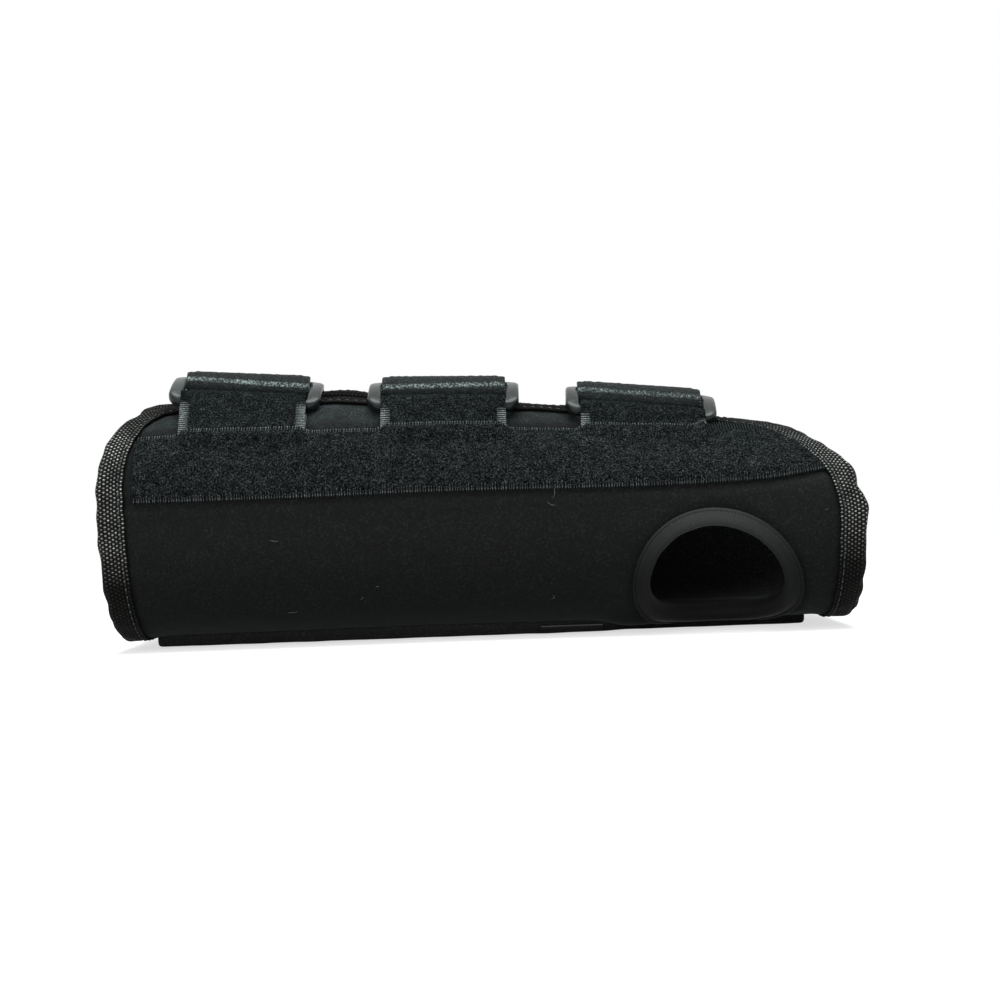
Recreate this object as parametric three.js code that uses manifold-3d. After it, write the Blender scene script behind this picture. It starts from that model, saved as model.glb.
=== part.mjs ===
// Wrist splint: a laminate sleeve wrapped round the forearm and palm, with a thumb hole, a metal palmar
// stay in a pocket, and three straps that pass through rectangular rings and fold back on themselves.
//
// X runs along the forearm towards the fingers, Y towards the little finger, Z up through the back of the
// hand. The origin lies on the surface that the palm side rests on, below the middle. Sizes are in
// millimetres.
//
// Most pieces are sheets laid on one form. A place on the form is written as (x, girth, lift): the station
// along the arm, the distance round the section from the middle of the palm (positive on the thumb side),
// and the height over the sleeve's outer face.
import * as THREE from "three";
import { mergeVertices } from "three/addons/utils/BufferGeometryUtils.js";
import Module from "manifold-3d";

// ---------------------------------------------------------------- driving dimensions
const LENGTH = 228.4; // proximal edge to distal edge
const LAMINATE = 4; // outer cloth, foam and lining together
const CLOTH_GAP = 0.3; // between pieces that lie on each other
const SLEEVE_FLOOR = 3.4; // height of the sleeve's outer face over the resting surface
const PALM_FLATNESS = 1; // how much of the round section is cut off to make the palm flat
const PALM_SQUARENESS = 3; // exponent of the section on the palm side

const FOREARM_WIDTH = 84; // outside widths and heights of the sleeve, from the elbow end to the finger end
const FOREARM_HEIGHT = 75.6;
const MID_FOREARM_WIDTH = 80;
const MID_FOREARM_HEIGHT = 77.4;
const WRIST_WIDTH = 76.4;
const WRIST_HEIGHT = 74.9;
const HAND_WIDTH = 88;
const HAND_HEIGHT = 65.8;
const KNUCKLE_WIDTH = 85;
const KNUCKLE_HEIGHT = 60.6;

const RADIAL_EDGE = 14; // from the middle of the back of the hand to the thumb-side flap's edge
const ULNAR_REACH = 6; // how far the other flap's edge passes that middle
const CORNER_GIRTH = 40; // girth from a flap's edge to where its corners begin
const PROXIMAL_CORNER = 18; // how far each corner draws its end in along the flap's edge
const DISTAL_CORNER = 34;
const CORNER_POWER = 1.8; // 2 gives the corners an ellipse's curve, less cuts them straighter
const PALM_PULL_IN = 2.5; // how much shorter the sleeve is along the palm, at each end

const TAPE = 0.7; // thickness of the binding tape
const TAPE_SEAT = 0.36; // between the tape and the laminate inside it
const END_TAPE_WIDTH = 8;
const EDGE_TAPE_WIDTH = 6;
const TAPE_JOIN = 0.8; // between an end tape and the edge tape that it runs into

const RIBBON_WIDTH = 21.8; // pile ribbon along each side
const RIBBON_THICKNESS = 1.2;
const RIBBON_END_GAP = 1; // from the ribbon's ends to the binding tapes
const RIBBON_START = 10.8; // from the proximal edge to the ribbon's cut end

const THUMB_CENTRE_INSET = 44.5; // from the distal edge
const THUMB_CENTRE_GIRTH = 40.3;
const THUMB_TAPE_RADIUS = 25.4; // outer edge of the thumb hole's binding
const THUMB_TAPE_WIDTH = 5;

const HINGE_HEIGHT = 41; // of the line along which the thumb-side flap folds open
const HINGE_OUTSIDE = 1.2; // from the widest point of the sleeve out to the fold's axis

const STRAP_WIDTH = 36.5;
const STRAP_THICKNESS = 1.2;
const FIRST_STRAP_INSET = 42.9; // from the proximal edge to the middle of the first strap
const LAST_STRAP_INSET = 64.2; // from the distal edge to the middle of the last one
const STRAP_LEAVING_LENGTH = 11; // girth from the far flap's edge to where a strap leaves for its ring
const STRAP_LANDING_LENGTH = 17; // girth from that edge to where its tail comes down again
const STRAP_TIP_LENGTH = 66; // girth from that edge to its tail's end
const STUB = 1.5; // of a strap that stays on the ring's bar when the rest moves away, at each side
const HOOK_LENGTH = 20;
const HOOK_THICKNESS = 0.9;
const HOOK_MARGIN = 2; // round the hook patch, on the tail
const TAB_WIDTH = 38;
const TAB_THICKNESS = 1.2;

const RING_BAR = 2.8; // width of a ring's long bars
const RING_SIDE_BAR = 3.1;
const RING_THICKNESS = 2.4;
const RING_EDGE_ROUNDING = 0.7;
const RING_CORNER = 3.6;
const RING_WINDOW = 13.4; // between the long bars
const RING_SIDE_PLAY = 0.6; // between a tab's selvedge and the ring
const RING_Y = -17; // centre of each ring, towards the thumb
const RING_LIFT = 1.1; // centre of each ring over the top of the sleeve
const RING_TILT = 19; // degrees, the far bar higher

const POCKET_MOUTH_INSET = 12.5; // from the proximal edge
const POCKET_END_INSET = 15; // from the distal edge
const POCKET_WALL = 0.8; // cloth under the stay
const POCKET_THUMB_EDGE = -17; // y of its long edge on the forearm
const POCKET_PALM_EDGE = -12; // y of the same edge beside the thumb hole
const POCKET_STEP_INSET = 78.4; // from the distal edge to where the one runs into the other
const POCKET_STEP_LENGTH = 8;
const POCKET_ULNAR_EDGE = 18;
const POCKET_ROUNDING = 0.6;
const STAY_WIDTH = 20;
const STAY_THICKNESS = 1.2;
const STAY_Y = 3; // centre line of the stay
const STAY_PLAY = 0.2; // round the stay in its pocket
const STAY_END_MARGIN = 4; // from the pocket's mouth, and from its closed end
const STAY_SEAM = 3; // sewn shut beyond the stay's tip
const STAY_ROUNDING = 0.2;

const LABEL_LENGTH = 19;
const LABEL_HEIGHT = 2;
const LABEL_THICKNESS = 0.3;

// Girth steps are short enough that the facets of one layer stay clear of the next.
const GIRTH_STEP = 4.8;
const LENGTH_STEPS = 24;
const THUMB_STEPS = 48; // round the thumb hole
const THUMB_CIRCLES = 5; // of points across the plug that is cut out for it
const PLUG_OVER = 2; // how far the plug passes each face of the laminate

// ---------------------------------------------------------------- materials
const cloth = (color, roughness) => new THREE.MeshStandardMaterial({ color, roughness, metalness: 0 });
const LOOP_CLOTH = cloth(0x1b1b1c, 0.95);
const PILE = cloth(0x242627, 1);
const WOVEN_TAPE = cloth(0x3a3b3a, 0.8);
const SMOOTH_TAPE = cloth(0x3a3c3c, 0.7);
const STRAP_CLOTH = cloth(0x444b49, 0.9);
const HOOK_PLASTIC = cloth(0x1d1f20, 0.6);
const SATIN = cloth(0x141414, 0.4);
const RING_PLASTIC = cloth(0x15181a, 0.2);
const STAY_METAL = new THREE.MeshStandardMaterial({ color: 0xb9bcc0, roughness: 0.35, metalness: 1 });

// ---------------------------------------------------------------- the form
// Stations along the arm: where each lies (as a share of the length), the half width, the height, the
// exponent of the section on the back (2 is round, less is more of a ridge), and how far round from the
// middle of the back the pile ribbons' centre lines lie (as a share of the width). The tuck is how far the
// little-finger flap's edge lies below the round of the section, so that the thumb's flap stands over it.
const STATIONS = [
  { at: -0.5, width: FOREARM_WIDTH, height: FOREARM_HEIGHT, back: 2.0, ribbon: 0.548, tuck: 1.4 },
  { at: -0.24, width: MID_FOREARM_WIDTH, height: MID_FOREARM_HEIGHT, back: 1.95, ribbon: 0.573, tuck: 0.3 },
  { at: -0.02, width: WRIST_WIDTH, height: WRIST_HEIGHT, back: 1.9, ribbon: 0.545, tuck: 1.6 },
  { at: 0.37, width: HAND_WIDTH, height: HAND_HEIGHT, back: 1.8, ribbon: 0.428, tuck: 2.2 },
  { at: 0.5, width: KNUCKLE_WIDTH, height: KNUCKLE_HEIGHT, back: 1.8, ribbon: 0.318, tuck: 2.6 },
];

// A smooth curve through the stations' values, by cubic pieces with shared slopes.
function valueAt(key, x) {
  const last = STATIONS.length - 1;
  const xs = STATIONS.map((station) => station.at * LENGTH);
  const ys = STATIONS.map((station) => station[key]);
  const slope = (k) => {
    const [a, b] = [Math.max(k - 1, 0), Math.min(k + 1, last)];
    return (ys[b] - ys[a]) / (xs[b] - xs[a]);
  };
  let k = 0;
  while (k < last - 1 && x > xs[k + 1]) k++;
  const span = xs[k + 1] - xs[k];
  const t = (x - xs[k]) / span;
  return (
    ys[k] * (1 + 2 * t) * (1 - t) ** 2 +
    ys[k + 1] * t * t * (3 - 2 * t) +
    span * t * (1 - t) * (slope(k) * (1 - t) - slope(k + 1) * t)
  );
}

// The section at x: points [y, z] of the sleeve's outer face against girth. It runs past the middle of the
// back both ways, because the flaps overlap there.
const SECTION_TURN = 1.25 * Math.PI;
const SECTION_POINTS = 900;
const TUCK_START = 0.6; // share of half a turn from the palm at which the tuck begins
const TUCK_FULL = 0.95;
const knownSections = new Map();

function sectionAt(x) {
  if (knownSections.has(x)) return knownSections.get(x);
  const [width, top, back, tuck] = ["width", "height", "back", "tuck"].map((key) => valueAt(key, x));
  const deep = (top - SLEEVE_FLOOR + PALM_FLATNESS) / 2;
  const outline = [];
  for (let k = 0; k <= SECTION_POINTS; k++) {
    const angle = SECTION_TURN * ((2 * k) / SECTION_POINTS - 1);
    const [c, s] = [Math.cos(angle), Math.sin(angle)];
    const power = back + ((PALM_SQUARENESS - back) * (1 + c)) / 2;
    const radius = (Math.abs(c) ** power + Math.abs(s) ** power) ** (-1 / power);
    const y = (-width / 2) * radius * s;
    const tucked = tuck * THREE.MathUtils.smoothstep(-angle / Math.PI, TUCK_START, TUCK_FULL);
    const z = Math.max(top - deep - deep * radius * c - tucked, SLEEVE_FLOOR);
    const before = outline[k - 1];
    const girth = k ? before.girth + Math.hypot(y - before.y, z - before.z) : 0;
    outline.push({ angle, girth, y, z });
  }
  const palm = outline[SECTION_POINTS / 2].girth;
  for (const point of outline) point.girth -= palm;
  knownSections.set(x, outline);
  return outline;
}

// The point of a section whose key (girth, angle) has a given value, between two of its points.
function alongSection(x, key, value) {
  const outline = sectionAt(x);
  let [low, high] = [0, outline.length - 1];
  while (high - low > 1) {
    const middle = (low + high) >> 1;
    if (outline[middle][key] <= value) low = middle;
    else high = middle;
  }
  const [a, b] = [outline[low], outline[high]];
  const t = (value - a[key]) / (b[key] - a[key]);
  const between = (name) => a[name] + (b[name] - a[name]) * t;
  return { girth: between("girth"), y: between("y"), z: between("z") };
}

const NORMAL_REACH = 1.5; // girth each side of a place over which its normal is taken

function onForm(x, girth, lift) {
  const place = alongSection(x, "girth", girth);
  const before = alongSection(x, "girth", girth - NORMAL_REACH);
  const after = alongSection(x, "girth", girth + NORMAL_REACH);
  const [dy, dz] = [after.y - before.y, after.z - before.z];
  const run = Math.hypot(dy, dz);
  return new THREE.Vector3(x, place.y - (dz / run) * lift, place.z + (dy / run) * lift);
}

const backGirth = (x) => alongSection(x, "angle", Math.PI).girth; // from the palm to the middle of the back
const radialEdge = (x) => backGirth(x) - RADIAL_EDGE;
const ulnarEdge = (x) => -(backGirth(x) + ULNAR_REACH);

// Girth of the fold line, where the thumb side passes HINGE_HEIGHT.
function hingeGirth(x) {
  let [low, high] = [0, backGirth(x)];
  while (high - low > 1e-6) {
    const middle = (low + high) / 2;
    if (alongSection(x, "girth", middle).z < HINGE_HEIGHT) low = middle;
    else high = middle;
  }
  return low;
}

// ---------------------------------------------------------------- building closed solids
function solidGeometry(points, faces) {
  let volume = 0;
  for (const [a, b, c] of faces) volume += points[a].dot(points[b].clone().cross(points[c]));
  const index = faces.flatMap(([a, b, c]) => (volume < 0 ? [a, c, b] : [a, b, c]));
  const geometry = new THREE.BufferGeometry().setFromPoints(points);
  geometry.setIndex(index);
  geometry.computeVertexNormals();
  return geometry;
}

// A closed sheet from two layers of a grid: point(column, row, side), with side 0 below and 1 above.
function sheetGeometry(columns, rows, point) {
  const points = [];
  const faces = [];
  const index = (column, row, side) => (side * (columns + 1) + column) * (rows + 1) + row;
  const quad = (a, b, c, d) => faces.push([a, b, c], [a, c, d]);
  for (const side of [0, 1])
    for (let column = 0; column <= columns; column++)
      for (let row = 0; row <= rows; row++) points.push(point(column, row, side));
  for (let column = 0; column < columns; column++)
    for (let row = 0; row < rows; row++) {
      const corners = (side) => [
        index(column, row, side),
        index(column + 1, row, side),
        index(column + 1, row + 1, side),
        index(column, row + 1, side),
      ];
      quad(...corners(1));
      quad(...corners(0).reverse());
    }
  for (let column = 0; column < columns; column++) {
    quad(index(column, 0, 0), index(column + 1, 0, 0), index(column + 1, 0, 1), index(column, 0, 1));
    const [far, near] = [index(column, rows, 1), index(column + 1, rows, 1)];
    quad(far, near, index(column + 1, rows, 0), index(column, rows, 0));
  }
  for (let row = 0; row < rows; row++) {
    const [above, below] = [index(columns, row + 1, 1), index(columns, row + 1, 0)];
    quad(index(0, row, 1), index(0, row + 1, 1), index(0, row + 1, 0), index(0, row, 0));
    quad(index(columns, row, 0), below, above, index(columns, row, 1));
  }
  return solidGeometry(points, faces);
}

// A profile of [inset, lift] points carried along a path: at(step, inset, lift) gives each point.
function sweepGeometry(steps, closed, profile, at) {
  const points = [];
  const faces = [];
  const size = profile.length;
  const stations = closed ? steps : steps + 1;
  for (let step = 0; step < stations; step++)
    for (const [inset, lift] of profile) points.push(at(step, inset, lift));
  for (let step = 0; step < steps; step++)
    for (let k = 0; k < size; k++) {
      const here = step * size;
      const next = ((step + 1) % stations) * size;
      const following = (k + 1) % size;
      faces.push([here + k, next + k, next + following], [here + k, next + following, here + following]);
    }
  if (!closed) {
    const outline = profile.map(([inset, lift]) => new THREE.Vector2(inset, lift));
    const turn = Math.sign(THREE.ShapeUtils.area(outline));
    for (const corners of THREE.ShapeUtils.triangulateShape(outline, [])) {
      const same = THREE.ShapeUtils.area(corners.map((k) => outline[k])) * turn > 0;
      const [a, b, c] = same ? corners : [...corners].reverse();
      const end = steps * size;
      faces.push([a, b, c], [end + c, end + b, end + a]);
    }
  }
  return solidGeometry(points, faces);
}

// ---------------------------------------------------------------- boolean cuts
const wasm = await Module();
wasm.setup();

function toManifold(geometry) {
  const bare = geometry.clone();
  for (const attribute of ["normal", "uv"]) bare.deleteAttribute(attribute);
  const merged = mergeVertices(bare, 1e-4);
  return new wasm.Manifold(
    new wasm.Mesh({
      numProp: 3,
      vertProperties: new Float32Array(merged.attributes.position.array),
      triVerts: new Uint32Array(merged.index.array),
    }),
  );
}

function fromManifold(solid) {
  const { vertProperties, triVerts } = solid.getMesh();
  const geometry = new THREE.BufferGeometry();
  geometry.setAttribute("position", new THREE.BufferAttribute(vertProperties, 3));
  geometry.setIndex(new THREE.BufferAttribute(triVerts, 1));
  geometry.computeVertexNormals();
  return geometry;
}

const cut = (geometry, tool) => fromManifold(toManifold(geometry).subtract(toManifold(tool)));

// ---------------------------------------------------------------- the assembly
const splint = new THREE.Group();
splint.name = "wrist_splint";

function addPiece(name, geometry, material, parent = splint) {
  const mesh = new THREE.Mesh(geometry, material);
  mesh.name = name;
  parent.add(mesh);
  return mesh;
}

// ---------------------------------------------------------------- sleeve, flap and binding tapes
// How far a round corner draws an end in (-1 proximal, 1 distal), at a distance from the flap's edge. Both
// lie on an outline that is itself drawn in by an inset.
const CORNER_DRAW_SHARE = 0.8; // keeps outlines apart where a corner is cut straight

function cornerInset(end, fromEdge, inset) {
  const draw = (end < 0 ? PROXIMAL_CORNER : DISTAL_CORNER) - CORNER_DRAW_SHARE * inset;
  const share = THREE.MathUtils.clamp(1 - fromEdge / (CORNER_GIRTH - inset), 0, 1);
  return draw * (1 - (1 - share ** CORNER_POWER) ** (1 / CORNER_POWER));
}

// Where the sleeve's flat pattern runs, drawn in by an inset: from the fold line (v = 0) to a flap's edge
// (v = 1), and from the proximal edge (u = 0) to the distal edge (u = 1). Each flap's corners are round.
function pattern(start, edge, inset) {
  const girthAt = (x, v) => {
    const [from, to] = [start(x), edge(x)];
    return from + (to - from - Math.sign(to - from) * inset) * v;
  };
  const endAt = (end, v) => {
    const nominal = (end * LENGTH) / 2;
    const girth = girthAt(nominal, v);
    const nearer = girth > 0 ? radialEdge(nominal) : ulnarEdge(nominal);
    const rounded = cornerInset(end, Math.abs(nearer - girth) - inset, inset);
    const palm = (1 + Math.cos((Math.PI * girth) / backGirth(nominal))) / 2;
    return end * (LENGTH / 2 - inset - rounded - PALM_PULL_IN * palm ** 2);
  };
  return (u, v) => {
    const x = endAt(-1, v) + (endAt(1, v) - endAt(-1, v)) * u;
    return [x, girthAt(x, v)];
  };
}

// The rows of a sheet from the fold line to a flap's edge, as shares v of the way: even, then closer round
// the corner.
const CORNER_STEPS = 11;
const LEAST_ROW = 0.03; // share of the way below which a row is left out

function rowsTo(span) {
  const even = Math.max(Math.ceil((span - CORNER_GIRTH) / GIRTH_STEP), 0);
  const rows = [0];
  for (let k = 1; k < even; k++) rows.push((k * (1 - CORNER_GIRTH / span)) / even);
  for (let k = CORNER_STEPS; k >= 0; k--) {
    const row = 1 - (CORNER_GIRTH / span) * (1 - Math.cos((Math.PI * k) / 2 / CORNER_STEPS));
    if (row > rows.at(-1) + (k && LEAST_ROW)) rows.push(row);
  }
  return rows;
}

// The value between the rows on each side of a step that need not be whole.
function rowAt(rows, step) {
  const k = Math.min(Math.floor(step), rows.length - 2);
  return rows[k] + (rows[k + 1] - rows[k]) * (step - k);
}

const FLAPS = [
  {
    suffix: "",
    panel: "sleeve_panel",
    start: (x) => hingeGirth(x) - CLOTH_GAP / 2,
    edge: ulnarEdge,
    edgeTape: "ulnar_edge_binding",
  },
  {
    suffix: "_flap",
    panel: "radial_flap_panel",
    start: (x) => hingeGirth(x) + CLOTH_GAP / 2,
    edge: radialEdge,
    edgeTape: "radial_edge_binding",
  },
];

// The tape's section: a channel that takes the laminate's edge, as [inset, lift] points. A point halfway
// along each leg lets it follow the form's curve.
function channel(width) {
  const [outer, inner] = [TAPE_SEAT + TAPE, -LAMINATE - TAPE_SEAT - TAPE];
  const half = width / 2;
  return [
    [0, outer],
    [half, outer],
    [width, outer],
    [width, TAPE_SEAT],
    [half, TAPE_SEAT],
    [TAPE, TAPE_SEAT],
    [TAPE, -LAMINATE - TAPE_SEAT],
    [half, -LAMINATE - TAPE_SEAT],
    [width, -LAMINATE - TAPE_SEAT],
    [width, inner],
    [half, inner],
    [0, inner],
  ];
}

// Carries a profile along a path of the flat pattern, with its insets measured square to the path.
const DIRECTION_REACH = 0.02; // step each way over which the path's direction is taken

function tapeGeometry(steps, closed, profile, path, inward) {
  const first = closed ? -Infinity : 0;
  const last = closed ? Infinity : steps;
  return sweepGeometry(steps, closed, profile, (step, inset, lift) => {
    const [x, girth] = path(step);
    const before = path(Math.max(step - DIRECTION_REACH, first));
    const after = path(Math.min(step + DIRECTION_REACH, last));
    const [dx, dg] = [after[0] - before[0], after[1] - before[1]];
    const run = Math.hypot(dx, dg) * inward;
    return onForm(x - (dg / run) * inset, girth + (dx / run) * inset, lift);
  });
}

for (const { suffix, panel, start, edge, edgeTape } of FLAPS) {
  const outline = pattern(start, edge, 0);
  const laminate = pattern(start, edge, TAPE + TAPE_SEAT);
  const rows = rowsTo(Math.abs(edge(0) - start(0)));
  const turn = Math.sign(edge(0) - start(0));
  let geometry = sheetGeometry(LENGTH_STEPS, rows.length - 1, (column, row, side) => {
    const [x, girth] = laminate(column / LENGTH_STEPS, rows[row]);
    return onForm(x, girth, side ? 0 : -LAMINATE);
  });
  if (panel === "sleeve_panel") geometry = cut(geometry, thumbDisc());
  addPiece(panel, geometry, LOOP_CLOTH);

  const ends = [
    { name: "proximal", u: 0 },
    { name: "distal", u: 1 },
  ];
  for (const { name, u } of ends) {
    const path = (step) => outline(u, rowAt(rows, step));
    const inward = turn * (u ? 1 : -1);
    const geometry = tapeGeometry(rows.length - 1, false, channel(END_TAPE_WIDTH), path, inward);
    addPiece(`${name}${suffix}_binding`, geometry, WOVEN_TAPE);
  }

  // The straight tape between the corners, clear of the end tapes.
  const [first, last] = [outline(0, 1)[0] + TAPE_JOIN, outline(1, 1)[0] - TAPE_JOIN];
  const straight = (step) => {
    const x = first + ((last - first) * step) / LENGTH_STEPS;
    return [x, edge(x)];
  };
  const tape = tapeGeometry(LENGTH_STEPS, false, channel(EDGE_TAPE_WIDTH), straight, -turn);
  addPiece(edgeTape, tape, WOVEN_TAPE);
}

// ---------------------------------------------------------------- thumb hole
function thumbCircle(radius, angle) {
  const x = LENGTH / 2 - THUMB_CENTRE_INSET + radius * Math.cos(angle);
  return [x, THUMB_CENTRE_GIRTH + radius * Math.sin(angle)];
}

// The plug cut out of the sleeve: a disc on the form, through both faces.
function thumbDisc() {
  const radius = THUMB_TAPE_RADIUS - THUMB_TAPE_WIDTH + TAPE + TAPE_SEAT;
  const points = [];
  const faces = [];
  for (const lift of [-LAMINATE - PLUG_OVER, PLUG_OVER]) {
    points.push(onForm(...thumbCircle(0, 0), lift));
    for (let circle = 1; circle <= THUMB_CIRCLES; circle++)
      for (let k = 0; k < THUMB_STEPS; k++) {
        const place = thumbCircle((radius * circle) / THUMB_CIRCLES, (2 * Math.PI * k) / THUMB_STEPS);
        points.push(onForm(...place, lift));
      }
  }
  const layer = 1 + THUMB_CIRCLES * THUMB_STEPS;
  const at = (circle, k) => (circle ? 1 + (circle - 1) * THUMB_STEPS + (k % THUMB_STEPS) : 0);
  for (let k = 0; k < THUMB_STEPS; k++) {
    for (let circle = 0; circle < THUMB_CIRCLES; circle++) {
      const [a, b] = [at(circle, k), at(circle, k + 1)];
      const [c, d] = [at(circle + 1, k), at(circle + 1, k + 1)];
      faces.push([layer + a, layer + d, layer + c], [a, c, d]);
      if (circle) faces.push([layer + a, layer + b, layer + d], [a, d, b]);
    }
    const [rim, next] = [at(THUMB_CIRCLES, k), at(THUMB_CIRCLES, k + 1)];
    faces.push([rim, layer + rim, layer + next], [rim, layer + next, next]);
  }
  return solidGeometry(points, faces);
}

const thumbPath = (step) => {
  return thumbCircle(THUMB_TAPE_RADIUS - THUMB_TAPE_WIDTH, (2 * Math.PI * step) / THUMB_STEPS);
};
addPiece(
  "thumb_hole_binding",
  tapeGeometry(THUMB_STEPS, true, channel(THUMB_TAPE_WIDTH), thumbPath, -1),
  SMOOTH_TAPE,
);

// ---------------------------------------------------------------- pile ribbons
// Each runs from its cut end to the distal tape, one along each side of the sleeve.
const ribbonCentre = (x) => valueAt("ribbon", x) * valueAt("width", x);
const ribbonTopGirth = (x) => backGirth(x) - ribbonCentre(x) + RIBBON_WIDTH / 2;
const RIBBONS = [
  { name: "radial_pile_ribbon", hand: 1, flap: FLAPS[1] },
  { name: "ulnar_pile_ribbon", hand: -1, flap: FLAPS[0] },
];
const RIBBON_ROWS = Math.ceil(RIBBON_WIDTH / GIRTH_STEP);
const END_TRIES = 24; // to find where a row of the ribbon meets the outline of the tape

for (const { name, hand, flap } of RIBBONS) {
  const inset = END_TAPE_WIDTH + RIBBON_END_GAP;
  const outline = pattern(flap.start, flap.edge, inset);
  const girthAt = (x, across) => hand * (backGirth(x) - ribbonCentre(x) + across);
  // A row's end follows the tape round the flap's corner.
  const endAt = (u, across) => {
    let x = (u - 0.5) * LENGTH;
    for (let k = 0; k < END_TRIES; k++) {
      const [from, to] = [flap.start(x), flap.edge(x)];
      const share = (girthAt(x, across) - from) / (to - from - Math.sign(to - from) * inset);
      x += (outline(u, Math.min(share, 1))[0] - x) / 2;
    }
    return x;
  };
  const geometry = sheetGeometry(LENGTH_STEPS, RIBBON_ROWS, (column, row, side) => {
    const across = RIBBON_WIDTH * (row / RIBBON_ROWS - 0.5);
    const first = Math.max(-LENGTH / 2 + RIBBON_START, endAt(0, across));
    const x = first + ((endAt(1, across) - first) * column) / LENGTH_STEPS;
    return onForm(x, girthAt(x, across), CLOTH_GAP + side * RIBBON_THICKNESS);
  });
  addPiece(name, geometry, PILE);
}

// ---------------------------------------------------------------- palmar pocket and stay
const pocketMouth = -LENGTH / 2 + POCKET_MOUTH_INSET;
const pocketEnd = LENGTH / 2 - POCKET_END_INSET;
const pocketStep = LENGTH / 2 - POCKET_STEP_INSET;
const pocketHeight = SLEEVE_FLOOR - CLOTH_GAP;

function boxGeometry(low, high) {
  const size = high.map((value, axis) => value - low[axis]);
  const middle = high.map((value, axis) => (value + low[axis]) / 2);
  return new THREE.BoxGeometry(...size).translate(...middle);
}

// A prism over an outline in X and Y, from low to high, with its long edges rounded.
function prism(shape, low, high, rounding) {
  const geometry = new THREE.ExtrudeGeometry(shape, {
    depth: high - low - 2 * rounding,
    bevelThickness: rounding,
    bevelSize: rounding,
    bevelOffset: -rounding,
    bevelSegments: 1,
    curveSegments: 4,
  });
  return geometry.translate(0, 0, low + rounding);
}

const pocketShape = new THREE.Shape();
const stepEnd = pocketStep + POCKET_STEP_LENGTH;
pocketShape.moveTo(pocketMouth, POCKET_THUMB_EDGE);
pocketShape.lineTo(pocketStep, POCKET_THUMB_EDGE);
pocketShape.bezierCurveTo(
  pocketStep + POCKET_STEP_LENGTH / 2,
  POCKET_THUMB_EDGE,
  stepEnd - POCKET_STEP_LENGTH / 2,
  POCKET_PALM_EDGE,
  stepEnd,
  POCKET_PALM_EDGE,
);
pocketShape.lineTo(pocketEnd, POCKET_PALM_EDGE);
pocketShape.lineTo(pocketEnd, POCKET_ULNAR_EDGE);
pocketShape.lineTo(pocketMouth, POCKET_ULNAR_EDGE);

const stayFirst = pocketMouth + STAY_END_MARGIN;
const stayLast = pocketEnd - STAY_END_MARGIN;
const stayHalf = STAY_WIDTH / 2;
const stayFloor = POCKET_WALL + STAY_PLAY;
const CAVITY_OVER = 1; // how far the cutting box passes the pocket's open faces
const cavity = boxGeometry(
  [pocketMouth - CAVITY_OVER, STAY_Y - stayHalf - STAY_PLAY, POCKET_WALL],
  [pocketEnd - STAY_SEAM, STAY_Y + stayHalf + STAY_PLAY, pocketHeight + CAVITY_OVER],
);
const pocket = prism(pocketShape, 0, pocketHeight, POCKET_ROUNDING);
addPiece("palmar_stay_pocket", cut(pocket, cavity), LOOP_CLOTH);

const stayShape = new THREE.Shape();
stayShape.moveTo(stayFirst + stayHalf, STAY_Y - stayHalf);
stayShape.lineTo(stayLast - stayHalf, STAY_Y - stayHalf);
stayShape.absarc(stayLast - stayHalf, STAY_Y, stayHalf, -Math.PI / 2, Math.PI / 2);
stayShape.lineTo(stayFirst + stayHalf, STAY_Y + stayHalf);
stayShape.absarc(stayFirst + stayHalf, STAY_Y, stayHalf, Math.PI / 2, (3 * Math.PI) / 2);
const stay = prism(stayShape, stayFloor, stayFloor + STAY_THICKNESS, STAY_ROUNDING);
addPiece("palmar_stay", stay, STAY_METAL);

// The blank label hangs on the pocket's long edge, and ends where the edge steps in.
const labelFace = POCKET_THUMB_EDGE - CLOTH_GAP;
const labelMiddle = pocketHeight / 2;
addPiece(
  "blank_label",
  boxGeometry(
    [pocketStep - LABEL_LENGTH, labelFace - LABEL_THICKNESS, labelMiddle - LABEL_HEIGHT / 2],
    [pocketStep, labelFace, labelMiddle + LABEL_HEIGHT / 2],
  ),
  SATIN,
);

// ---------------------------------------------------------------- rings
const RING_INNER_LENGTH = TAB_WIDTH + 2 * RING_SIDE_PLAY;
const BAR_SPACING = RING_WINDOW + RING_BAR;
const BAR_RADIUS = Math.hypot(RING_BAR, RING_THICKNESS) / 2 - RING_EDGE_ROUNDING * (Math.SQRT2 - 1);
const tilt = THREE.MathUtils.degToRad(RING_TILT);

function roundedRectangle(path, length, width, radius) {
  const [x, y] = [length / 2 - radius, width / 2 - radius];
  path.absarc(x, y, radius, 0, Math.PI / 2);
  path.absarc(-x, y, radius, Math.PI / 2, Math.PI);
  path.absarc(-x, -y, radius, Math.PI, (3 * Math.PI) / 2);
  path.absarc(x, -y, radius, (3 * Math.PI) / 2, 2 * Math.PI);
  return path;
}

function ringGeometry() {
  const outer = [RING_INNER_LENGTH + 2 * RING_SIDE_BAR, RING_WINDOW + 2 * RING_BAR];
  const shape = roundedRectangle(new THREE.Shape(), ...outer, RING_CORNER);
  const window = [RING_INNER_LENGTH, RING_WINDOW];
  shape.holes.push(roundedRectangle(new THREE.Path(), ...window, RING_CORNER - RING_BAR));
  return prism(shape, -RING_THICKNESS / 2, RING_THICKNESS / 2, RING_EDGE_ROUNDING);
}

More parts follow.
